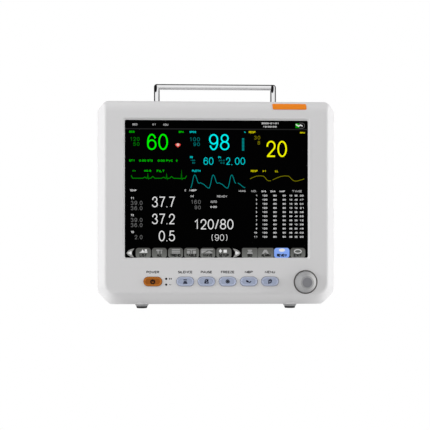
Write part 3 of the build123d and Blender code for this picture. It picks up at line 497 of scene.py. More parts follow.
# Stroke lettering, one unit high.  Two numbers are a point of the pen's path; six are an
# elliptical bow: centre x and y, radii, and the angles where it starts and ends.
GLYPHS = {
    "0": [[(0.3, 0.5, 0.3, 0.5, 90, 450)]],
    "1": [[(0.02, 0.74), (0.28, 1), (0.28, 0)]],
    "2": [[(0.3, 0.7, 0.28, 0.3, 190, -40), (0.03, 0)], [(0, 0), (0.6, 0)]],
    "3": [[(0.29, 0.76, 0.24, 0.24, 195, -90)], [(0.29, 0.26, 0.29, 0.26, 90, -168)]],
    "4": [[(0.45, 0), (0.45, 1), (0, 0.28), (0.62, 0.28)]],
    "5": [[(0.55, 1), (0.12, 1), (0.06, 0.5)], [(0.29, 0.32, 0.3, 0.32, 140, -165)]],
    "6": [[(0.31, 0.31, 0.29, 0.31, 90, 450)], [(0.02, 0.31), (0.31, 0.5, 0.29, 0.5, 180, 28)]],
    "7": [[(0, 1), (0.6, 1), (0.36, 0.5), (0.22, 0)]],
    "8": [[(0.3, 0.76, 0.25, 0.24, 90, 450)], [(0.3, 0.26, 0.3, 0.26, 90, 450)]],
    "9": [[(0.29, 0.69, 0.29, 0.31, 90, 450)], [(0.58, 0.69), (0.29, 0.5, 0.29, 0.5, 0, -152)]],
    ".": [[(0.04, 0), (0.12, 0)]],
    ":": [[(0, 0.08), (0.06, 0.08)], [(0, 0.62), (0.06, 0.62)]],
    "-": [[(0, 0.45), (0.3, 0.45)]],
    "/": [[(0, 0), (0.34, 1)]],
    "(": [[(0.42, 0.44, 0.42, 0.56, 125, 235)]],
    ")": [[(-0.24, 0.44, 0.42, 0.56, 55, -55)]],
    "%": [[(0.12, 0.78, 0.12, 0.2, 90, 450)], [(0.1, 0), (0.5, 1)], [(0.5, 0.22, 0.12, 0.2, 90, 450)]],
    "A": [[(0, 0), (0.33, 1), (0.66, 0)], [(0.12, 0.34), (0.54, 0.34)]],
    "B": [[(0, 0.52), (0, 1), (0.34, 0.76, 0.2, 0.24, 90, -90), (0, 0.52)],
          [(0, 0.52), (0.34, 0.26, 0.24, 0.26, 90, -90), (0, 0), (0, 0.52)]],
    "C": [[(0.36, 0.5, 0.36, 0.5, 50, 310)]],
    "D": [[(0, 0), (0, 1), (0.26, 0.5, 0.36, 0.5, 90, -90), (0, 0)]],
    "E": [[(0.55, 1), (0, 1), (0, 0), (0.55, 0)], [(0, 0.52), (0.5, 0.52)]],
    "F": [[(0.55, 1), (0, 1), (0, 0)], [(0, 0.52), (0.45, 0.52)]],
    "G": [[(0.36, 0.5, 0.36, 0.5, 50, 330), (0.67, 0.46), (0.4, 0.46)]],
    "H": [[(0, 0), (0, 1)], [(0.6, 0), (0.6, 1)], [(0, 0.52), (0.6, 0.52)]],
    "I": [[(0, 0), (0, 1)]],
    "L": [[(0, 1), (0, 0), (0.5, 0)]],
    "M": [[(0, 0), (0, 1), (0.36, 0.15), (0.72, 1), (0.72, 0)]],
    "N": [[(0, 0), (0, 1), (0.6, 0), (0.6, 1)]],
    "O": [[(0.38, 0.5, 0.38, 0.5, 90, 450)]],
    "P": [[(0, 0), (0, 1), (0.34, 0.74, 0.24, 0.26, 90, -90), (0, 0.48)]],
    "R": [[(0, 0), (0, 1), (0.34, 0.74, 0.24, 0.26, 90, -90), (0, 0.48)],
          [(0.3, 0.48), (0.6, 0)]],
    "S": [[(0.3, 0.76, 0.26, 0.24, 30, 270), (0.3, 0.26, 0.29, 0.26, 90, -150)]],
    "T": [[(0, 1), (0.6, 1)], [(0.3, 1), (0.3, 0)]],
    "U": [[(0, 1), (0.3, 0.3, 0.3, 0.3, 180, 360), (0.6, 1)]],
    "V": [[(0, 1), (0.32, 0), (0.64, 1)]],
    "W": [[(0, 1), (0.22, 0), (0.45, 1), (0.68, 0), (0.9, 1)]],
    "X": [[(0, 0), (0.6, 1)], [(0, 1), (0.6, 0)]],
    "Y": [[(0, 1), (0.3, 0.45), (0.6, 1)], [(0.3, 0.45), (0.3, 0)]],
    "Z": [[(0, 1), (0.58, 1), (0, 0), (0.58, 0)]],
}
LETTER_GAP = 0.24
WORD_GAP = 0.4
DIGIT_WIDTH = 0.6


def written(text, step, gap):
    """Pen paths of a word, one unit high, starting at x = 0."""
    paths = []
    start = 0.0
    for letter in text:
        if letter == " ":
            start += WORD_GAP
            continue
        drawn = []
        for pen in GLYPHS[letter]:
            path = []
            for mark in pen:
                path += bow(*mark, step) if len(mark) == 6 else [mark]
            drawn.append(path)
        low = min(x for path in drawn for x, y in path)
        high = max(x for path in drawn for x, y in path)
        margin = (DIGIT_WIDTH - high + low) / 2 if letter.isdigit() else 0.0
        paths += [[(x - low + margin + start, y) for x, y in path] for path in drawn]
        start += high - low + 2 * margin + gap
    return paths


def lettering(name, items, pen, depth, plane, material, body="monitor", step=20, gap=LETTER_GAP):
    """Raised lettering: each item is (text, x0, x1, y0, y1), the box that the text fills."""
    shape = bmesh.new()
    for text, x0, x1, y0, y1 in items:
        paths = written(text, step, gap)
        xs = [x for path in paths for x, y in path]
        ys = [y for path in paths for x, y in path]
        wide = (x1 - x0 - pen) / max(max(xs) - min(xs), 0.001)
        tall = (y1 - y0 - pen) / max(max(ys) - min(ys), 0.001)
        for path in paths:
            placed = [(x0 + pen / 2 + (x - min(xs)) * wide, y0 + pen / 2 + (y - min(ys)) * tall)
                      for x, y in path]
            ribbon(shape, placed, pen, depth, plane)
    return add_piece(name, finish_mesh(name, shape), material, body)


# ---------------------------------------------------------------- display
# The display's layout is in hundredths of its lit width: u to the right, v down from the top.
LIT_WIDTH = 246.0
LIT_HEIGHT = 184.5
LIT_MIDDLE_Z = 160.8
UNIT = LIT_WIDTH / 100 * MM
SCREEN_LEFT = -LIT_WIDTH / 2 * MM
SCREEN_TOP = (LIT_MIDDLE_Z + LIT_HEIGHT / 2) * MM
GLYPH = 0.06 * MM
panel_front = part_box("lcd_panel")[0].y
SCREEN_PLANE = front_plane(panel_front - 2 * HAIR)
MARK_PLANE = front_plane(panel_front - 3 * HAIR - GLYPH)
TEXT_TRIM = 0.2
LIMIT_GAP = 0.36
LABEL_PEN = 0.32
LIMIT_PEN = 0.30
SMALL_PEN = 0.28


def screen_point(u, v):
    return SCREEN_LEFT + u * UNIT, SCREEN_TOP - v * UNIT


def drawn(points):
    """An outline or a path on the display, from its u, v points."""
    return [screen_point(u, v) for u, v in points]


def on_screen(items):
    placed = []
    for text, u0, u1, v0, v1 in items:
        x0, y1 = screen_point(u0 + TEXT_TRIM, v0 + TEXT_TRIM)
        x1, y0 = screen_point(u1 - TEXT_TRIM, v1 - TEXT_TRIM)
        placed.append((text, x0, x1, y0, y1))
    return placed


def screen_box(u0, u1, v0, v1, r=0.0):
    x0, y1 = screen_point(u0, v0)
    x1, y0 = screen_point(u1, v1)
    if r:
        return rounded(x0, x1, y0, y1, r * UNIT)
    return [(x0, y0), (x1, y0), (x1, y1), (x0, y1)]


LIT_COLORS = {
    "green": (0.0, 1.0, 0.0),
    "green_mid": (0.0, 0.46, 0.0),
    "green_trace": (0.0, 0.24, 0.0),
    "green_dim": (0.0, 0.155, 0.0),
    "cyan": (0.0, 1.0, 1.0),
    "teal": (0.0, 0.62, 0.66),
    "teal_mid": (0.0, 0.5, 0.52),
    "teal_trace": (0.0, 0.24, 0.24),
    "teal_dim": (0.0, 0.15, 0.15),
    "yellow": (1.0, 1.0, 0.0),
    "yellow_mid": (0.55, 0.50, 0.0),
    "yellow_trace": (0.18, 0.17, 0.0),
    "yellow_dim": (0.18, 0.16, 0.0),
    "white": (0.82, 0.82, 0.82),
    "white_mid": (0.62, 0.62, 0.62),
    "white_low": (0.36, 0.36, 0.36),
    "grey": (0.13, 0.13, 0.13),
    "arrow": (0.30, 0.30, 0.29),
    "rule": (0.016, 0.016, 0.016),
    "red": (0.75, 0.05, 0.04),
    "pink": (0.9, 0.5, 0.45),
    "battery": (0.0, 0.32, 0.0),
}
lit = {name: glowing("lit_" + name, color) for name, color in LIT_COLORS.items()}


def readout(name, items, color, pen, step=30, gap=LETTER_GAP):
    """Lit text on the display; pen is its line width in display units."""
    return lettering(name, on_screen(items), pen * UNIT, GLYPH, SCREEN_PLANE, lit[color], step=step, gap=gap)


def limits(name, items, color):
    """The alarm limits beside a value, set wider than other text."""
    return readout(name, items, color, LIMIT_PEN, gap=LIMIT_GAP)


readout("readout_heart_rate", (("60", 12.0, 23.7, 7.2, 16.4),), "green", 0.82, 10)
readout("readout_oxygen", (("98", 45.7, 57.2, 7.2, 16.4),), "cyan", 0.78, 10)
readout("readout_breathing", (("20", 77.0, 88.7, 10.7, 20.0),), "yellow", 0.86, 10)
readout("readout_pulse", (
    ("60", 42.7, 48.5, 19.9, 24.4),
    ("2", 55.0, 57.7, 19.9, 24.3),
    ("00", 59.8, 65.8, 19.9, 24.3),
    (".", 57.7, 59.0, 23.2, 24.5),
), "teal", 0.42, 15)
readout("readout_white_values", (
    ("37.7", 14.6, 27.5, 41.4, 47.6),
    ("37.2", 14.6, 27.5, 50.7, 56.8),
    ("0.5", 18.3, 27.5, 59.9, 66.1),
    ("120/80", 37.8, 59.4, 53.6, 59.6),
), "white", 0.54, 12)
readout("readout_mean_pressure", (
    ("(", 47.1, 48.3, 61.8, 65.9),
    ("90", 48.8, 54.3, 61.9, 65.8),
    (")", 54.9, 56.1, 61.8, 65.9),
), "white", 0.28, 12)

readout("readout_green_labels", (
    ("ECG", 2.3, 5.6, 5.6, 7.1),
    ("BPM", 29.2, 32.3, 5.6, 7.1),
    ("ST1", 2.2, 5.5, 21.2, 22.8),
    ("0.00", 7.6, 11.9, 21.2, 22.8),
    ("ST2", 12.1, 15.5, 21.2, 22.8),
    ("0.00", 17.7, 22.0, 21.2, 22.8),
    ("PVC", 22.3, 26.4, 21.2, 22.8),
    ("0", 27.7, 28.9, 21.2, 22.8),
    ("II", 4.2, 6.0, 26.8, 28.3),
    ("X0.5", 10.3, 14.6, 26.8, 28.3),
    ("FILT", 17.2, 21.9, 26.8, 28.5),
), "green_mid", LABEL_PEN)
limits("readout_green_limits", (("120", 2.9, 8.3, 9.0, 11.6), ("50", 4.4, 8.3, 11.8, 14.2)), "green_dim")
readout("readout_teal_labels", (
    ("SPO2", 35.0, 39.1, 5.6, 7.1),
    ("%", 64.9, 66.1, 5.7, 6.9),
    ("PR", 35.3, 37.3, 19.3, 21.0),
    ("PI", 50.7, 52.6, 19.3, 21.0),
    ("PLETH", 36.4, 41.5, 26.7, 28.3),
), "teal_mid", LABEL_PEN)
readout("readout_teal_tiny", (
    ("120", 35.6, 38.5, 21.2, 22.4),
    ("50", 36.4, 38.5, 22.5, 23.8),
    ("20.0", 50.9, 54.6, 21.2, 22.4),
    ("0.2", 51.9, 54.6, 22.5, 23.8),
), "teal_dim", 0.24)
limits("readout_teal_limits", (("100", 35.2, 41.1, 9.0, 11.6), ("90", 37.1, 41.1, 11.8, 14.2)), "teal_dim")
readout("readout_yellow_labels", (
    ("RESP", 67.4, 71.5, 5.5, 7.1),
    ("RPM", 95.5, 98.6, 5.8, 7.2),
    ("RESP", 68.5, 72.7, 26.7, 28.3),
    ("X1", 74.9, 77.1, 26.8, 28.3),
    ("LL", 81.8, 84.0, 26.7, 28.3),
), "yellow_mid", LABEL_PEN)
limits("readout_yellow_limits", (("30", 70.3, 74.1, 8.0, 10.5), ("8", 72.2, 74.0, 10.8, 13.3)), "yellow_dim")
readout("readout_header", (
    ("BED", 4.0, 7.2, 1.6, 3.1),
    ("01", 14.8, 17.0, 1.6, 3.1),
    ("ADU", 20.6, 23.9, 1.6, 3.2),
    ("TIME", 91.0, 97.0, 37.7, 39.3),
    ("MMHG", 61.9, 66.1, 37.7, 39.2),
    ("READY", 50.0, 56.1, 40.6, 42.2),
    ("AUTO", 46.4, 50.4, 43.4, 45.2),
    ("NO.", 68.7, 72.2, 37.7, 39.3),
), "white_low", LIMIT_PEN)
readout("readout_white_labels", (
    ("2000-01-01", 74.3, 84.1, 0.7, 2.1),
    ("12:00:00", 75.2, 83.1, 2.6, 3.9),
    ("TEMP", 2.6, 6.6, 37.5, 39.0),
    ("C", 32.4, 33.6, 37.4, 38.9),
    ("T1", 3.1, 5.2, 41.7, 43.3),
    ("T2", 3.1, 5.2, 50.9, 52.5),
    ("TD", 3.1, 5.3, 60.1, 61.7),
    ("NIBP", 35.0, 39.3, 37.4, 38.9),
    ("M", 35.7, 37.7, 40.5, 42.2),
    ("0:00", 46.3, 50.4, 46.4, 47.9),
    ("SYS", 74.3, 77.3, 37.9, 39.3),
    ("DIA", 79.3, 82.5, 37.9, 39.3),
    ("MAP", 84.3, 87.6, 37.9, 39.3),
), "white_mid", SMALL_PEN)
limits("readout_grey_limits", (
    ("39.0", 3.1, 9.9, 43.7, 46.4),
    ("36.0", 3.1, 9.9, 46.6, 49.2),
    ("39.0", 3.1, 9.9, 53.0, 55.6),
    ("36.0", 3.1, 9.9, 55.8, 58.4),
    ("2.0", 5.2, 9.9, 62.3, 65.0),
    ("160", 35.9, 41.6, 43.1, 45.8),
    ("90", 37.8, 41.6, 46.2, 48.7),
), "grey")

# The table of past pressures: a reading every quarter of an hour, newest first.
FIRST_ROW_V = 40.2
ROW_PITCH_V = 2.254
ROW_HEIGHT_V = 1.4
ROW_COUNT = 11
NUMBER_RIGHT = 72.35
NUMBER_WIDTH = 1.05
history = []
for row in range(ROW_COUNT):
    top = FIRST_ROW_V + ROW_PITCH_V * row
    bottom = top + ROW_HEIGHT_V
    number = str(row + 1)
    history.append((number, NUMBER_RIGHT - NUMBER_WIDTH * len(number), NUMBER_RIGHT, top, bottom))
    history.append(("120", 74.8, 78.0, top, bottom))
    history.append(("80", 80.8, 83.1, top, bottom))
    history.append(("90", 85.9, 88.1, top, bottom))
    history.append(("%02d:" % (10 - row // 4), 89.6, 91.9, top, bottom))
    history.append(("%02d:" % (55 - (row % 4) * 15), 92.5, 94.8, top, bottom))
    history.append(("%02d" % ((row * 17 + 30) % 60), 95.3, 97.9, top, bottom))
readout("readout_history", history, "white_mid", 0.26)


def trace(name, points, color, width=0.36):
    return lines(name, [drawn(points)], width * UNIT, GLYPH, SCREEN_PLANE, lit[color])


def shifted(wave, start):
    """A wave's u, v points, moved along its trace."""
    return [(start + u, v) for u, v in wave]


# One heartbeat of the ECG trace and one pulse of the oxygen trace, as u, v points.
BEAT = (
    (0.0, 31.6), (1.2, 31.0), (2.1, 31.6), (2.5, 31.6), (2.8, 28.9), (3.1, 32.0), (3.5, 31.6),
    (4.4, 31.6), (5.5, 30.6), (6.6, 31.6))
PULSE = (
    (0.0, 36.9), (0.5, 35.6), (0.9, 34.0), (1.3, 31.8), (1.7, 30.2), (2.2, 29.7), (2.7, 30.2), (3.3, 31.8),
    (3.8, 33.5), (4.4, 34.3), (5.4, 34.0), (7.2, 34.9), (8.6, 36.2), (9.3, 36.75), (9.8, 36.85))
FIRST_BEAT = [(3.5, 30.1), (4.3, 31.6)]
LAST_BEAT = [
    (28.0, 31.6), (30.3, 31.7), (30.7, 31.9), (30.95, 26.9), (31.2, 32.3), (31.6, 31.6), (32.9, 31.6),
    (33.6, 30.2)]
trace("trace_ecg", FIRST_BEAT + shifted(BEAT, 9.8) + shifted(BEAT, 20.0) + LAST_BEAT, "green_trace")
trace("trace_pleth", shifted(PULSE, 35.9) + shifted(PULSE, 46.0) + shifted(PULSE[:10], 56.1), "teal_trace")
trace("trace_pleth_tail", [(61.6, 34.0), (63.1, 35.0), (64.5, 36.2), (65.6, 36.7)], "teal_trace")
trace("trace_resp", [
    (68.3, 31.8), (69.9, 31.0), (71.7, 30.3), (74.0, 30.1), (75.7, 30.3), (76.5, 31.0), (77.4, 32.2),
    (78.3, 32.8), (79.7, 32.8)], "yellow_trace")
trace("trace_resp_tail", [
    (80.7, 32.3), (82.6, 31.4), (84.9, 30.5), (87.1, 30.1), (89.4, 30.2), (90.3, 31.0), (91.4, 32.2),
    (92.6, 32.9), (94.1, 32.9), (96.2, 32.3), (98.0, 31.7)], "yellow_trace")


def heart_outline(u, v, width, steps=36, squash=0.86):
    """The classic heart curve, 32 units wide, centred on a display point."""
    x0, y0 = screen_point(u, v)
    size = width * UNIT / 32
    loop = []
    for n in range(steps):
        t = 2 * math.pi * n / steps
        x = 16 * math.sin(t) ** 3
        y = 13 * math.cos(t) - 5 * math.cos(2 * t) - 2 * math.cos(3 * t) - math.cos(4 * t)
        loop.append((x0 + x * size, y0 + y * size * squash))
    return loop


def fan(shape, loop, depth, plane):
    """Closed prism from an outline with hollows, built as wedges round its middle."""
    middle = (sum(x for x, y in loop) / len(loop), sum(y for x, y in loop) / len(loop))
    count = len(loop)
    low = [shape.verts.new(plane @ Vector((x, y, 0.0))) for x, y in loop + [middle]]
    high = [shape.verts.new(plane @ Vector((x, y, depth))) for x, y in loop + [middle]]
    for n in range(count):
        m = (n + 1) % count
        shape.faces.new((low[m], low[n], low[count]))
        shape.faces.new((high[n], high[m], high[count]))
        shape.faces.new((low[n], low[m], high[m], high[n]))


def fan_plate(name, loops, plane, material):
    """Thin lit shapes on the display; their outlines may have hollows."""
    shape = bmesh.new()
    for loop in loops:
        fan(shape, loop, GLYPH, plane)
    return add_piece(name, finish_mesh(name, shape), material)


HEART_U = 28.95
fan_plate("heart_symbol", [heart_outline(HEART_U, 13.6, 3.0)], SCREEN_PLANE, lit["red"])
shine_x, shine_y = screen_point(HEART_U, 13.3)
plate("heart_shine", [disc(shine_x, shine_y, 0.8 * UNIT)], GLYPH, MARK_PLANE, lit["pink"])

BAR_SIDES = (63.9, 65.1)
BAR_PITCH = 0.79
bar_rows = [(9.6, 10.5), (15.5, 16.4)] + [(10.75 + BAR_PITCH * n, 11.4 + BAR_PITCH * n) for n in range(6)]
bar = [screen_box(*BAR_SIDES, *row) for row in bar_rows]
plate("signal_bar", bar, GLYPH, SCREEN_PLANE, lit["teal_trace"])
plate("header_rule", [screen_box(0.0, 99.9, 4.4, 5.0)], GLYPH, SCREEN_PLANE, lit["rule"])
plate("battery_level", [screen_box(93.2, 95.3, 1.4, 3.9)], GLYPH, SCREEN_PLANE, lit["battery"])
battery_outline = drawn(((95.3, 1.2), (97.3, 1.2), (98.1, 1.9), (98.1, 3.3), (97.3, 4.0), (95.3, 4.0)))
battery_charge = drawn(((93.4, 1.9), (94.9, 2.9), (96.0, 2.2), (97.1, 2.9)))
lines("battery_outline", [battery_outline], 0.25 * UNIT, GLYPH, SCREEN_PLANE, lit["grey"])
lines("battery_charge", [battery_charge], 0.6 * UNIT, GLYPH, MARK_PLANE, lit["white"])

SOFT_KEY_ROWS = (69.5, 75.0)
SOFT_KEYS = ((6.0, 14.2), (14.8, 22.9), (23.6, 31.7), (32.3, 40.4), (41.1, 49.3), (49.9, 58.1), (90.4, 98.6))
WIDE_SOFT_KEYS = ((63.9, 72.4), (72.6, 81.2))
SELECTED_SOFT_KEY = (81.5, 89.9)


def soft_key_glow(name, top, bottom):
    """Lit key face that shades from its top to its bottom edge."""
    material, made, links, principled = shader(name, BLACK, 0.6, Specular_IOR_Level=0.0)
    span = made.new("ShaderNodeMapRange")
    span.inputs["From Min"].default_value = screen_point(0, SOFT_KEY_ROWS[1])[1]
    span.inputs["From Max"].default_value = screen_point(0, SOFT_KEY_ROWS[0])[1]
    links.new(parts(made, links, position(made))["Z"], span.inputs["Value"])
    links.new(ramp(made, links, span.outputs["Result"], bottom, top), principled.inputs["Emission Color"])
    principled.inputs["Emission Strength"].default_value = 1.0
    return material


def soft_keys(name, keys, r, material):
    loops = [screen_box(*sides, *SOFT_KEY_ROWS, r) for sides in keys]
    return plate(name, loops, GLYPH, SCREEN_PLANE, material)


soft_keys("soft_keys", SOFT_KEYS, 1.5,
          soft_key_glow("lit_soft_key", (0.095, 0.095, 0.09), (0.165, 0.17, 0.16)))
soft_keys("soft_keys_wide", WIDE_SOFT_KEYS, 0.8,
          soft_key_glow("lit_wide_key", (0.10, 0.10, 0.095), (0.17, 0.175, 0.165)))
soft_keys("soft_key_selected", [SELECTED_SOFT_KEY], 1.5,
          soft_key_glow("lit_selected_key", (0.26, 0.42, 0.93), (0.22, 0.38, 0.90)))

# The two arrows at the ends of the key row point away from each other; u runs in from each tip.
CRESCENT = (
    (0.0, 72.3), (0.9, 71.1), (2.3, 70.3), (4.3, 69.8), (3.3, 71.0), (2.9, 72.3), (3.2, 73.5), (4.2, 74.8),
    (2.3, 74.3), (0.9, 73.5))
GLINT = ((0.4, 72.3), (2.6, 71.2), (2.9, 72.3), (2.6, 73.3))
crescents = []
glints = []
for tip, way in ((1.0, 1), (63.1, -1)):
    crescents.append(drawn((tip + way * u, v) for u, v in CRESCENT))
    glints.append(drawn((tip + way * u, v) for u, v in GLINT))
fan_plate("soft_key_arrows", crescents, SCREEN_PLANE, lit["arrow"])
fan_plate("soft_key_glints", glints, MARK_PLANE, lit["white"])

# The soft keys' little pictures: boxes as left, right, top, bottom, and outlines as points.
BRIGHT_BOXES = ((10.9, 12.1, 70.3, 71.2), (10.7, 12.3, 71.4, 72.1), (53.8, 55.6, 70.5, 72.1))
BRIGHT_OUTLINES = (
    ((7.8, 72.1), (8.6, 71.6), (9.0, 71.7), (9.7, 70.2), (10.6, 71.6), (10.6, 72.1)),
    ((51.2, 71.2), (52.1, 70.1), (53.0, 71.2), (52.1, 72.3)),
)
DULL_BOXES = (
    (17.2, 19.0, 70.4, 71.2), (17.9, 18.4, 71.2, 72.6), (19.4, 20.5, 70.5, 71.0), (19.7, 20.2, 71.3, 72.6),
    (67.0, 69.4, 70.5, 71.1), (67.3, 69.1, 71.3, 71.9), (66.8, 69.7, 72.0, 72.8), (36.0, 36.4, 70.5, 72.7),
    (33.9, 38.7, 70.3, 70.7), (33.9, 35.4, 71.1, 72.6), (37.1, 38.7, 71.1, 72.6), (41.7, 48.2, 70.2, 70.7),
    (25.6, 30.1, 70.2, 70.75), (25.6, 30.1, 71.1, 71.65), (25.6, 30.1, 72.0, 72.55),
)
DULL_OUTLINES = (
    ((41.7, 70.9), (45.0, 70.9), (42.2, 72.5), (41.7, 72.5)),
    ((46.0, 71.0), (48.2, 72.4), (43.4, 72.4)),
    ((76.0, 70.5), (77.4, 70.5), (78.6, 72.7), (77.6, 72.7), (76.7, 71.2), (75.7, 72.7), (74.8, 72.7)),
)
bright_marks = [screen_box(*box) for box in BRIGHT_BOXES] + [drawn(outline) for outline in BRIGHT_OUTLINES]
bright_marks.append(bow(*screen_point(85.8, 70.7), 1.7 * UNIT, 0.9 * UNIT, 0, 345, 15))
dull_marks = [screen_box(*box) for box in DULL_BOXES] + [drawn(outline) for outline in DULL_OUTLINES]
fan_plate("soft_key_marks_bright", bright_marks, MARK_PLANE, lit["white"])
fan_plate("soft_key_marks_dull", dull_marks, MARK_PLANE, lit["white_low"])
exit_ring = bow(*screen_point(94.5, 71.4), 1.9 * UNIT, 1.0 * UNIT, 0, 360, 15)
lines("soft_key_ring", [exit_ring], 0.5 * UNIT, GLYPH, MARK_PLANE, lit["white_mid"])

CAPTION_ROWS = (72.5, 74.6)
CAPTIONS = (("LIST", 7.9, 12.3), ("ALL", 17.2, 20.5), ("TREND", 24.4, 30.8), ("TABLE", 33.1, 39.6),
            ("WAVE", 42.4, 48.1), ("SETUP", 51.0, 57.0), ("BED", 66.7, 69.8), ("ALARM", 74.2, 79.8),
            ("REVIEW", 82.8, 88.7), ("EXIT", 92.0, 97.0))
captions = on_screen([caption + CAPTION_ROWS for caption in CAPTIONS])
lettering("soft_key_captions", captions, 0.46 * UNIT, GLYPH, MARK_PLANE,
          glowing("lit_caption", (0.018, 0.018, 0.018)), step=30)

# ---------------------------------------------------------------- front panel marks
PRINT_DEPTH = 0.05 * MM
LABEL_ROWS = (48.1, 51.5)
LABEL_WIDTHS = {"power": 17.0, "silence": 19.4, "pause": 15.2, "freeze": 18.0, "nibp": 10.6, "menu": 13.6}
INK = moulded("panel_ink", (0.02, 0.02, 0.024), 0.5, depth=FINE, **LITTLE_SHINE)
FACE = front_plane(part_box("front_bezel")[0].y + HAIR)


def millimetres(loop):
    return [(x * MM, z * MM) for x, z in loop]


def sized(items):
    """Lettering items with their boxes given in millimetres."""
    return [(text, *(value * MM for value in box)) for text, *box in items]


key_middles = {key: middle_of(key + "_button").x / MM for key in LABEL_WIDTHS}
labels = [(key.upper(), key_middles[key] - width / 2, key_middles[key] + width / 2, *LABEL_ROWS)
          for key, width in LABEL_WIDTHS.items()]
lettering("key_labels", sized(labels), 0.76 * MM, PRINT_DEPTH, FACE, INK)

LIGHT_X = -67.3
LIGHT_HEIGHTS = (33.1, 40.8)
surrounds = [disc(LIGHT_X * MM, z * MM, 1.5 * MM) for z in LIGHT_HEIGHTS]
plate("status_light_surrounds", surrounds, PRINT_DEPTH, FACE, INK)
battery_blocks = [millimetres(rounded(x, x + 1.5, 39.9, 41.8, 0.3)) for x in (-63.7, -61.4)]
plate("battery_light_symbol", battery_blocks, PRINT_DEPTH, FACE, INK)
mains_wave = millimetres(((-63.6, 32.9), (-62.7, 33.5), (-61.6, 32.7), (-60.4, 33.3)))
lines("mains_light_symbol", [mains_wave], 0.6 * MM, PRINT_DEPTH, FACE, INK)

# Each key has a film in its dished face, and a symbol printed on the film.
KEY_DISH = 0.7 * MM
FILM_DEPTH = 0.06 * MM
KEY_Z = 37.3
KEY_LENGTH = 22.8
POWER_KEY_LENGTH = 24.2
KEY_HEIGHT = 11.9
FILM_INSET = 4.9
FILM_HALF_HEIGHT = (KEY_HEIGHT - FILM_INSET) / 2
FILM_ROWS = (KEY_Z - FILM_HALF_HEIGHT, KEY_Z + FILM_HALF_HEIGHT)
FILM_RADIUS = FILM_HALF_HEIGHT - 0.01
key_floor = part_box("menu_button")[0].y + KEY_DISH
KEY_FLOOR = front_plane(key_floor + HAIR)
KEY_INK_PLANE = front_plane(key_floor - FILM_DEPTH)
KEY_INK = moulded("key_icon_ink", (0.012, 0.014, 0.035), 0.5, depth=FINE, **LITTLE_SHINE)
KEY_INKS = {
    "power": moulded("power_icon_ink", (0.012, 0.006, 0.003), 0.5, depth=FINE, **LITTLE_SHINE),
    "freeze": moulded("freeze_icon_ink", (0.06, 0.065, 0.09), 0.5, depth=FINE, **LITTLE_SHINE),
}
key_film = moulded("key_film", (0.355, 0.405, 0.54), 0.4, depth=FINE, mottle=0.02)
power_film = moulded(
    "power_film", (0.335, 0.098, 0.011), 0.4, depth=FINE, mottle=0.04, Specular_IOR_Level=0.12)


def spokes(r, count):
    """Lines through the centre, evenly spread."""
    angles = [math.pi * n / count for n in range(count)]
    return [[(r * math.cos(a), r * math.sin(a)), (-r * math.cos(a), -r * math.sin(a))] for a in angles]


# Each key's symbol: its line width and its pen paths, in millimetres about the key's centre.
LINES_BY_HEIGHT = ((2.3, 2.3), (0.2, 1.9), (-1.3, 2.4), (-2.4, 2.9))
BELL = [(-2.6, -1.9), (-1.9, -1.1)] + bow(0.0, 0.5, 1.8, 2.0, 180, 0) + [(1.9, -1.1), (2.6, -1.9)]
PAGE = [(-1.9, -2.4), (-1.5, 1.5), (0.6, 2.4), (2.0, 1.6), (1.2, -1.4), (-1.9, -2.4)]
KEY_ICONS = {
    "power": (1.8, [bow(0.0, -0.4, 2.5, 2.5, 115, 425), [(0.0, -0.3), (0.0, 3.0)]]),
    "silence": (1.2, [[(-half, z), (half, z)] for z, half in LINES_BY_HEIGHT]),
    "pause": (1.25, [BELL, [(-2.8, -2.2), (2.8, -2.2)], [(2.6, 2.6), (-2.6, -2.2)]]),
    "freeze": (0.85, spokes(2.9, 4) + [bow(0.0, 0.0, 2.2, 2.2, 0, 360, 30)]),
    "nibp": (1.3, [[(-3.6, 1.3), (-1.6, -0.1), (0.3, -1.2), (1.9, -0.9), (3.0, 0.4)],
                   [(-3.4, 0.3), (-1.4, -1.0)], [(-2.6, 1.2), (-0.6, -0.1)]]),
    "menu": (1.35, [PAGE, [(-0.3, 1.2), (0.5, 0.4)]]),
}

for key, x in key_middles.items():
    power = key == "power"
    half = ((POWER_KEY_LENGTH if power else KEY_LENGTH) - FILM_INSET) / 2
    film = millimetres(rounded(x - half, x + half, *FILM_ROWS, FILM_RADIUS))
    plate(key + "_film", [film], FILM_DEPTH, KEY_FLOOR, power_film if power else key_film, key + "_key")
    pen, paths = KEY_ICONS[key]
    paths = [millimetres((x + right, KEY_Z + up) for right, up in path) for path in paths]
    lines(key + "_icon", paths, pen * MM, FILM_DEPTH, KEY_INK_PLANE, KEY_INKS.get(key, KEY_INK), key + "_key")

# ---------------------------------------------------------------- side and rear marks
SIDE_INK = moulded("side_ink", (0.05, 0.05, 0.055), 0.5, depth=FINE)
SIDE_FACE = left_plane(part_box("sensor_panel")[0].x - HAIR)
LETTER_PEN = 0.55 * MM
SIDE_LETTER_HEIGHT = 3.0
SOCKET_Y = 42.0
SOCKET_FLOOR = left_plane(-142.9 * MM)
SOCKET_LABELS = (
    ("ECG", 5.2, 227.5), ("SPO2", 6.4, 192.6), ("T1", 2.8, 159.8), ("T2", 2.8, 138.6), ("NIBP", 6.4, 100.6))
side_labels = [(word, -SOCKET_Y - half, -SOCKET_Y + half, z, z + SIDE_LETTER_HEIGHT)
               for word, half, z in SOCKET_LABELS]
lettering("socket_labels", sized(side_labels), LETTER_PEN, PRINT_DEPTH, SIDE_FACE, SIDE_INK)


def pins(name, z, ring, count, r, length):
    """Round brass contacts on a ring inside a socket on the left side, pointing outwards."""
    shape = bmesh.new()
    for n in range(count):
        angle = 2 * math.pi * (n + 0.5) / count
        loop = disc((-SOCKET_Y + ring * math.cos(angle)) * MM, (z + ring * math.sin(angle)) * MM, r * MM, 12)
        prism(shape, loop, length * MM, SOCKET_FLOOR)
    return add_piece(name, finish_mesh(name, shape), brass)


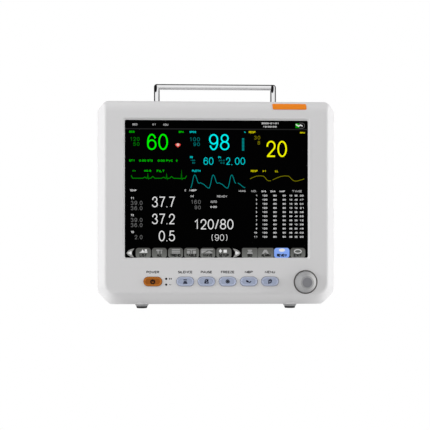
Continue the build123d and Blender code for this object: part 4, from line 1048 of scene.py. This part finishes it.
pins("ecg_contacts", 212.0, 4.6, 8, 0.55, 7.0)
pins("spo2_contacts", 179.0, 3.4, 6, 0.5, 6.5)

rear_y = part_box("rear_casing")[1].y
REAR_DEPTH = 0.02 * MM
REAR_FACE = rear_plane(rear_y)
RATING_FACE = rear_plane(rear_y + 1.1 * REAR_DEPTH)
REAR_INK = moulded("rear_ink", (0.06, 0.06, 0.065), 0.5, depth=FINE)
rating_film = moulded("rating_film", (0.50, 0.505, 0.51), 0.35, depth=FINE, mottle=0.02)
RATING_SIDES = (66.0, 128.0)
RATING_HEIGHTS = (104.0, 150.0)
RATING_RULE_X = RATING_SIDES[0] + 6.0
FIRST_RULE_Z = RATING_HEIGHTS[1] - 7.0
RULE_PITCH = 5.5
rating_plate = millimetres(rounded(*RATING_SIDES, *RATING_HEIGHTS, 2.0))
plate("rating_plate", [rating_plate], REAR_DEPTH, REAR_FACE, rating_film)
rating_rules = []
for n, length in enumerate((34.0, 50.0, 46.0, 50.0, 40.0, 28.0)):
    z = FIRST_RULE_Z - RULE_PITCH * n
    rating_rules.append(millimetres([(RATING_RULE_X, z), (RATING_RULE_X + length, z)]))
lines("rating_rules", rating_rules, 0.9 * MM, REAR_DEPTH / 2, RATING_FACE, REAR_INK)


def earth_symbol(x, z, size):
    """Three shortening bars under a stem, the usual earth mark."""
    bars = [[(x - w * size, z - d * size), (x + w * size, z - d * size)]
            for w, d in ((1.0, 0.0), (0.62, 0.5), (0.25, 1.0))]
    return [millimetres(path) for path in bars + [[(x, z), (x, z + size)]]]


lines("earth_symbol", earth_symbol(39.0, 75.6, 1.7), 0.5 * MM, REAR_DEPTH, REAR_FACE, REAR_INK)
rear_labels = (("LAN", 54.0, 61.0, 74.4, 77.6), ("AC", 93.5, 98.5, 74.4, 77.6))
lettering("rear_labels", sized(rear_labels), LETTER_PEN, REAR_DEPTH, REAR_FACE, REAR_INK)

# ---------------------------------------------------------------- floor, lights and camera
FLOOR_GLOW = 0.75
FLOOR_SIZE = 60.0
FLOOR_Z = -0.0002


def stage_floor(name, size, z):
    """Plain white floor that lights itself evenly, so it meets the backdrop without an edge."""
    shape = bmesh.new()
    bmesh.ops.create_grid(shape, x_segments=1, y_segments=1, size=size / 2)
    floor = bpy.data.objects.new(name, finish_mesh(name, shape))
    bpy.context.scene.collection.objects.link(floor)
    floor.location = (0, 0, z)
    material, made, links, principled = shader(name, BLACK, 0.9, Specular_IOR_Level=0.0)
    principled.inputs["Emission Color"].default_value = (1.0, 1.0, 1.0, 1.0)
    rays = made.new("ShaderNodeLightPath")
    span = made.new("ShaderNodeMapRange")
    span.inputs["To Min"].default_value = FLOOR_GLOW
    span.inputs["To Max"].default_value = 1.0
    links.new(rays.outputs["Is Camera Ray"], span.inputs["Value"])
    links.new(span.outputs["Result"], principled.inputs["Emission Strength"])
    floor.data.materials.append(material)


stage_floor("studio_floor", FLOOR_SIZE, FLOOR_Z)

LIGHT_TARGET = Vector((0, 0, 0.14))
SOFTBOXES = (
    ("left_softbox", (-1.45, -0.32, 0.30), (0.9, 1.0), 18.5),
    ("right_softbox", (1.45, -0.12, 0.30), (0.9, 1.0), 20.5),
    ("top_softbox", (-0.4, -0.25, 1.7), (1.2, 0.7), 6.5),
)


def softbox(name, location, size, power):
    light = bpy.data.lights.new(name, "AREA")
    light.shape = "RECTANGLE"
    light.size, light.size_y = size
    light.energy = power
    holder = bpy.data.objects.new(name, light)
    bpy.context.scene.collection.objects.link(holder)
    holder.location = location
    aim = LIGHT_TARGET - Vector(location)
    holder.rotation_euler = aim.to_track_quat("-Z", "Y").to_euler()
    holder.visible_glossy = False


for name, location, size, power in SOFTBOXES:
    softbox(name, location, size, power)

# The room is white to the eye.  It lights the piece a little more from the rear, and the piece
# mirrors a bright front and a dark rear; -Y is the front.
SKY_GLOW = 0.64
REAR_EXTRA = 0.2
FRONT_REFLECTION = 1.0
REAR_REFLECTION = 0.03
REFLECTION_EDGE = (-0.40, -0.28)


def studio_room(name):
    room = bpy.data.worlds.new(name)
    room.use_nodes = True
    made = room.node_tree.nodes
    links = room.node_tree.links
    background = made["Background"]
    background.inputs["Color"].default_value = (1, 1, 1, 1)
    rays = made.new("ShaderNodeLightPath")
    backward = parts(made, links, made.new("ShaderNodeTexCoord").outputs["Generated"])["Y"]
    mirrored = made.new("ShaderNodeMapRange")
    mirrored.inputs["From Min"].default_value, mirrored.inputs["From Max"].default_value = REFLECTION_EDGE
    mirrored.inputs["To Min"].default_value = FRONT_REFLECTION
    mirrored.inputs["To Max"].default_value = REAR_REFLECTION
    links.new(backward, mirrored.inputs["Value"])
    glow = made.new("ShaderNodeMix")
    links.new(rays.outputs["Is Glossy Ray"], glow.inputs["Factor"])
    links.new(calculate(made, links, "MULTIPLY_ADD", backward, REAR_EXTRA, SKY_GLOW), glow.inputs["A"])
    links.new(mirrored.outputs["Result"], glow.inputs["B"])
    seen = made.new("ShaderNodeMix")
    seen.inputs["B"].default_value = 1.0
    links.new(rays.outputs["Is Camera Ray"], seen.inputs["Factor"])
    links.new(glow.outputs["Result"], seen.inputs["A"])
    links.new(seen.outputs["Result"], background.inputs["Strength"])
    return room


bpy.context.scene.world = studio_room("studio")
bpy.context.scene.view_settings.view_transform = "Standard"

SENSOR_WIDTH = 36.0
LENS_LENGTH = 65.2437
LENS_SHIFT = 0.087907
CAMERA_PLACE = (-35.1 * MM, -1103.7 * MM, 75.5 * MM)
CAMERA_TURN = -1.808
camera = bpy.data.cameras.new("camera")
camera.sensor_width = SENSOR_WIDTH
camera.lens = LENS_LENGTH
camera.shift_y = LENS_SHIFT
viewer = bpy.data.objects.new("camera", camera)
bpy.context.scene.collection.objects.link(viewer)
viewer.location = CAMERA_PLACE
viewer.rotation_euler = (math.radians(90), 0, math.radians(CAMERA_TURN))
bpy.context.scene.camera = viewer
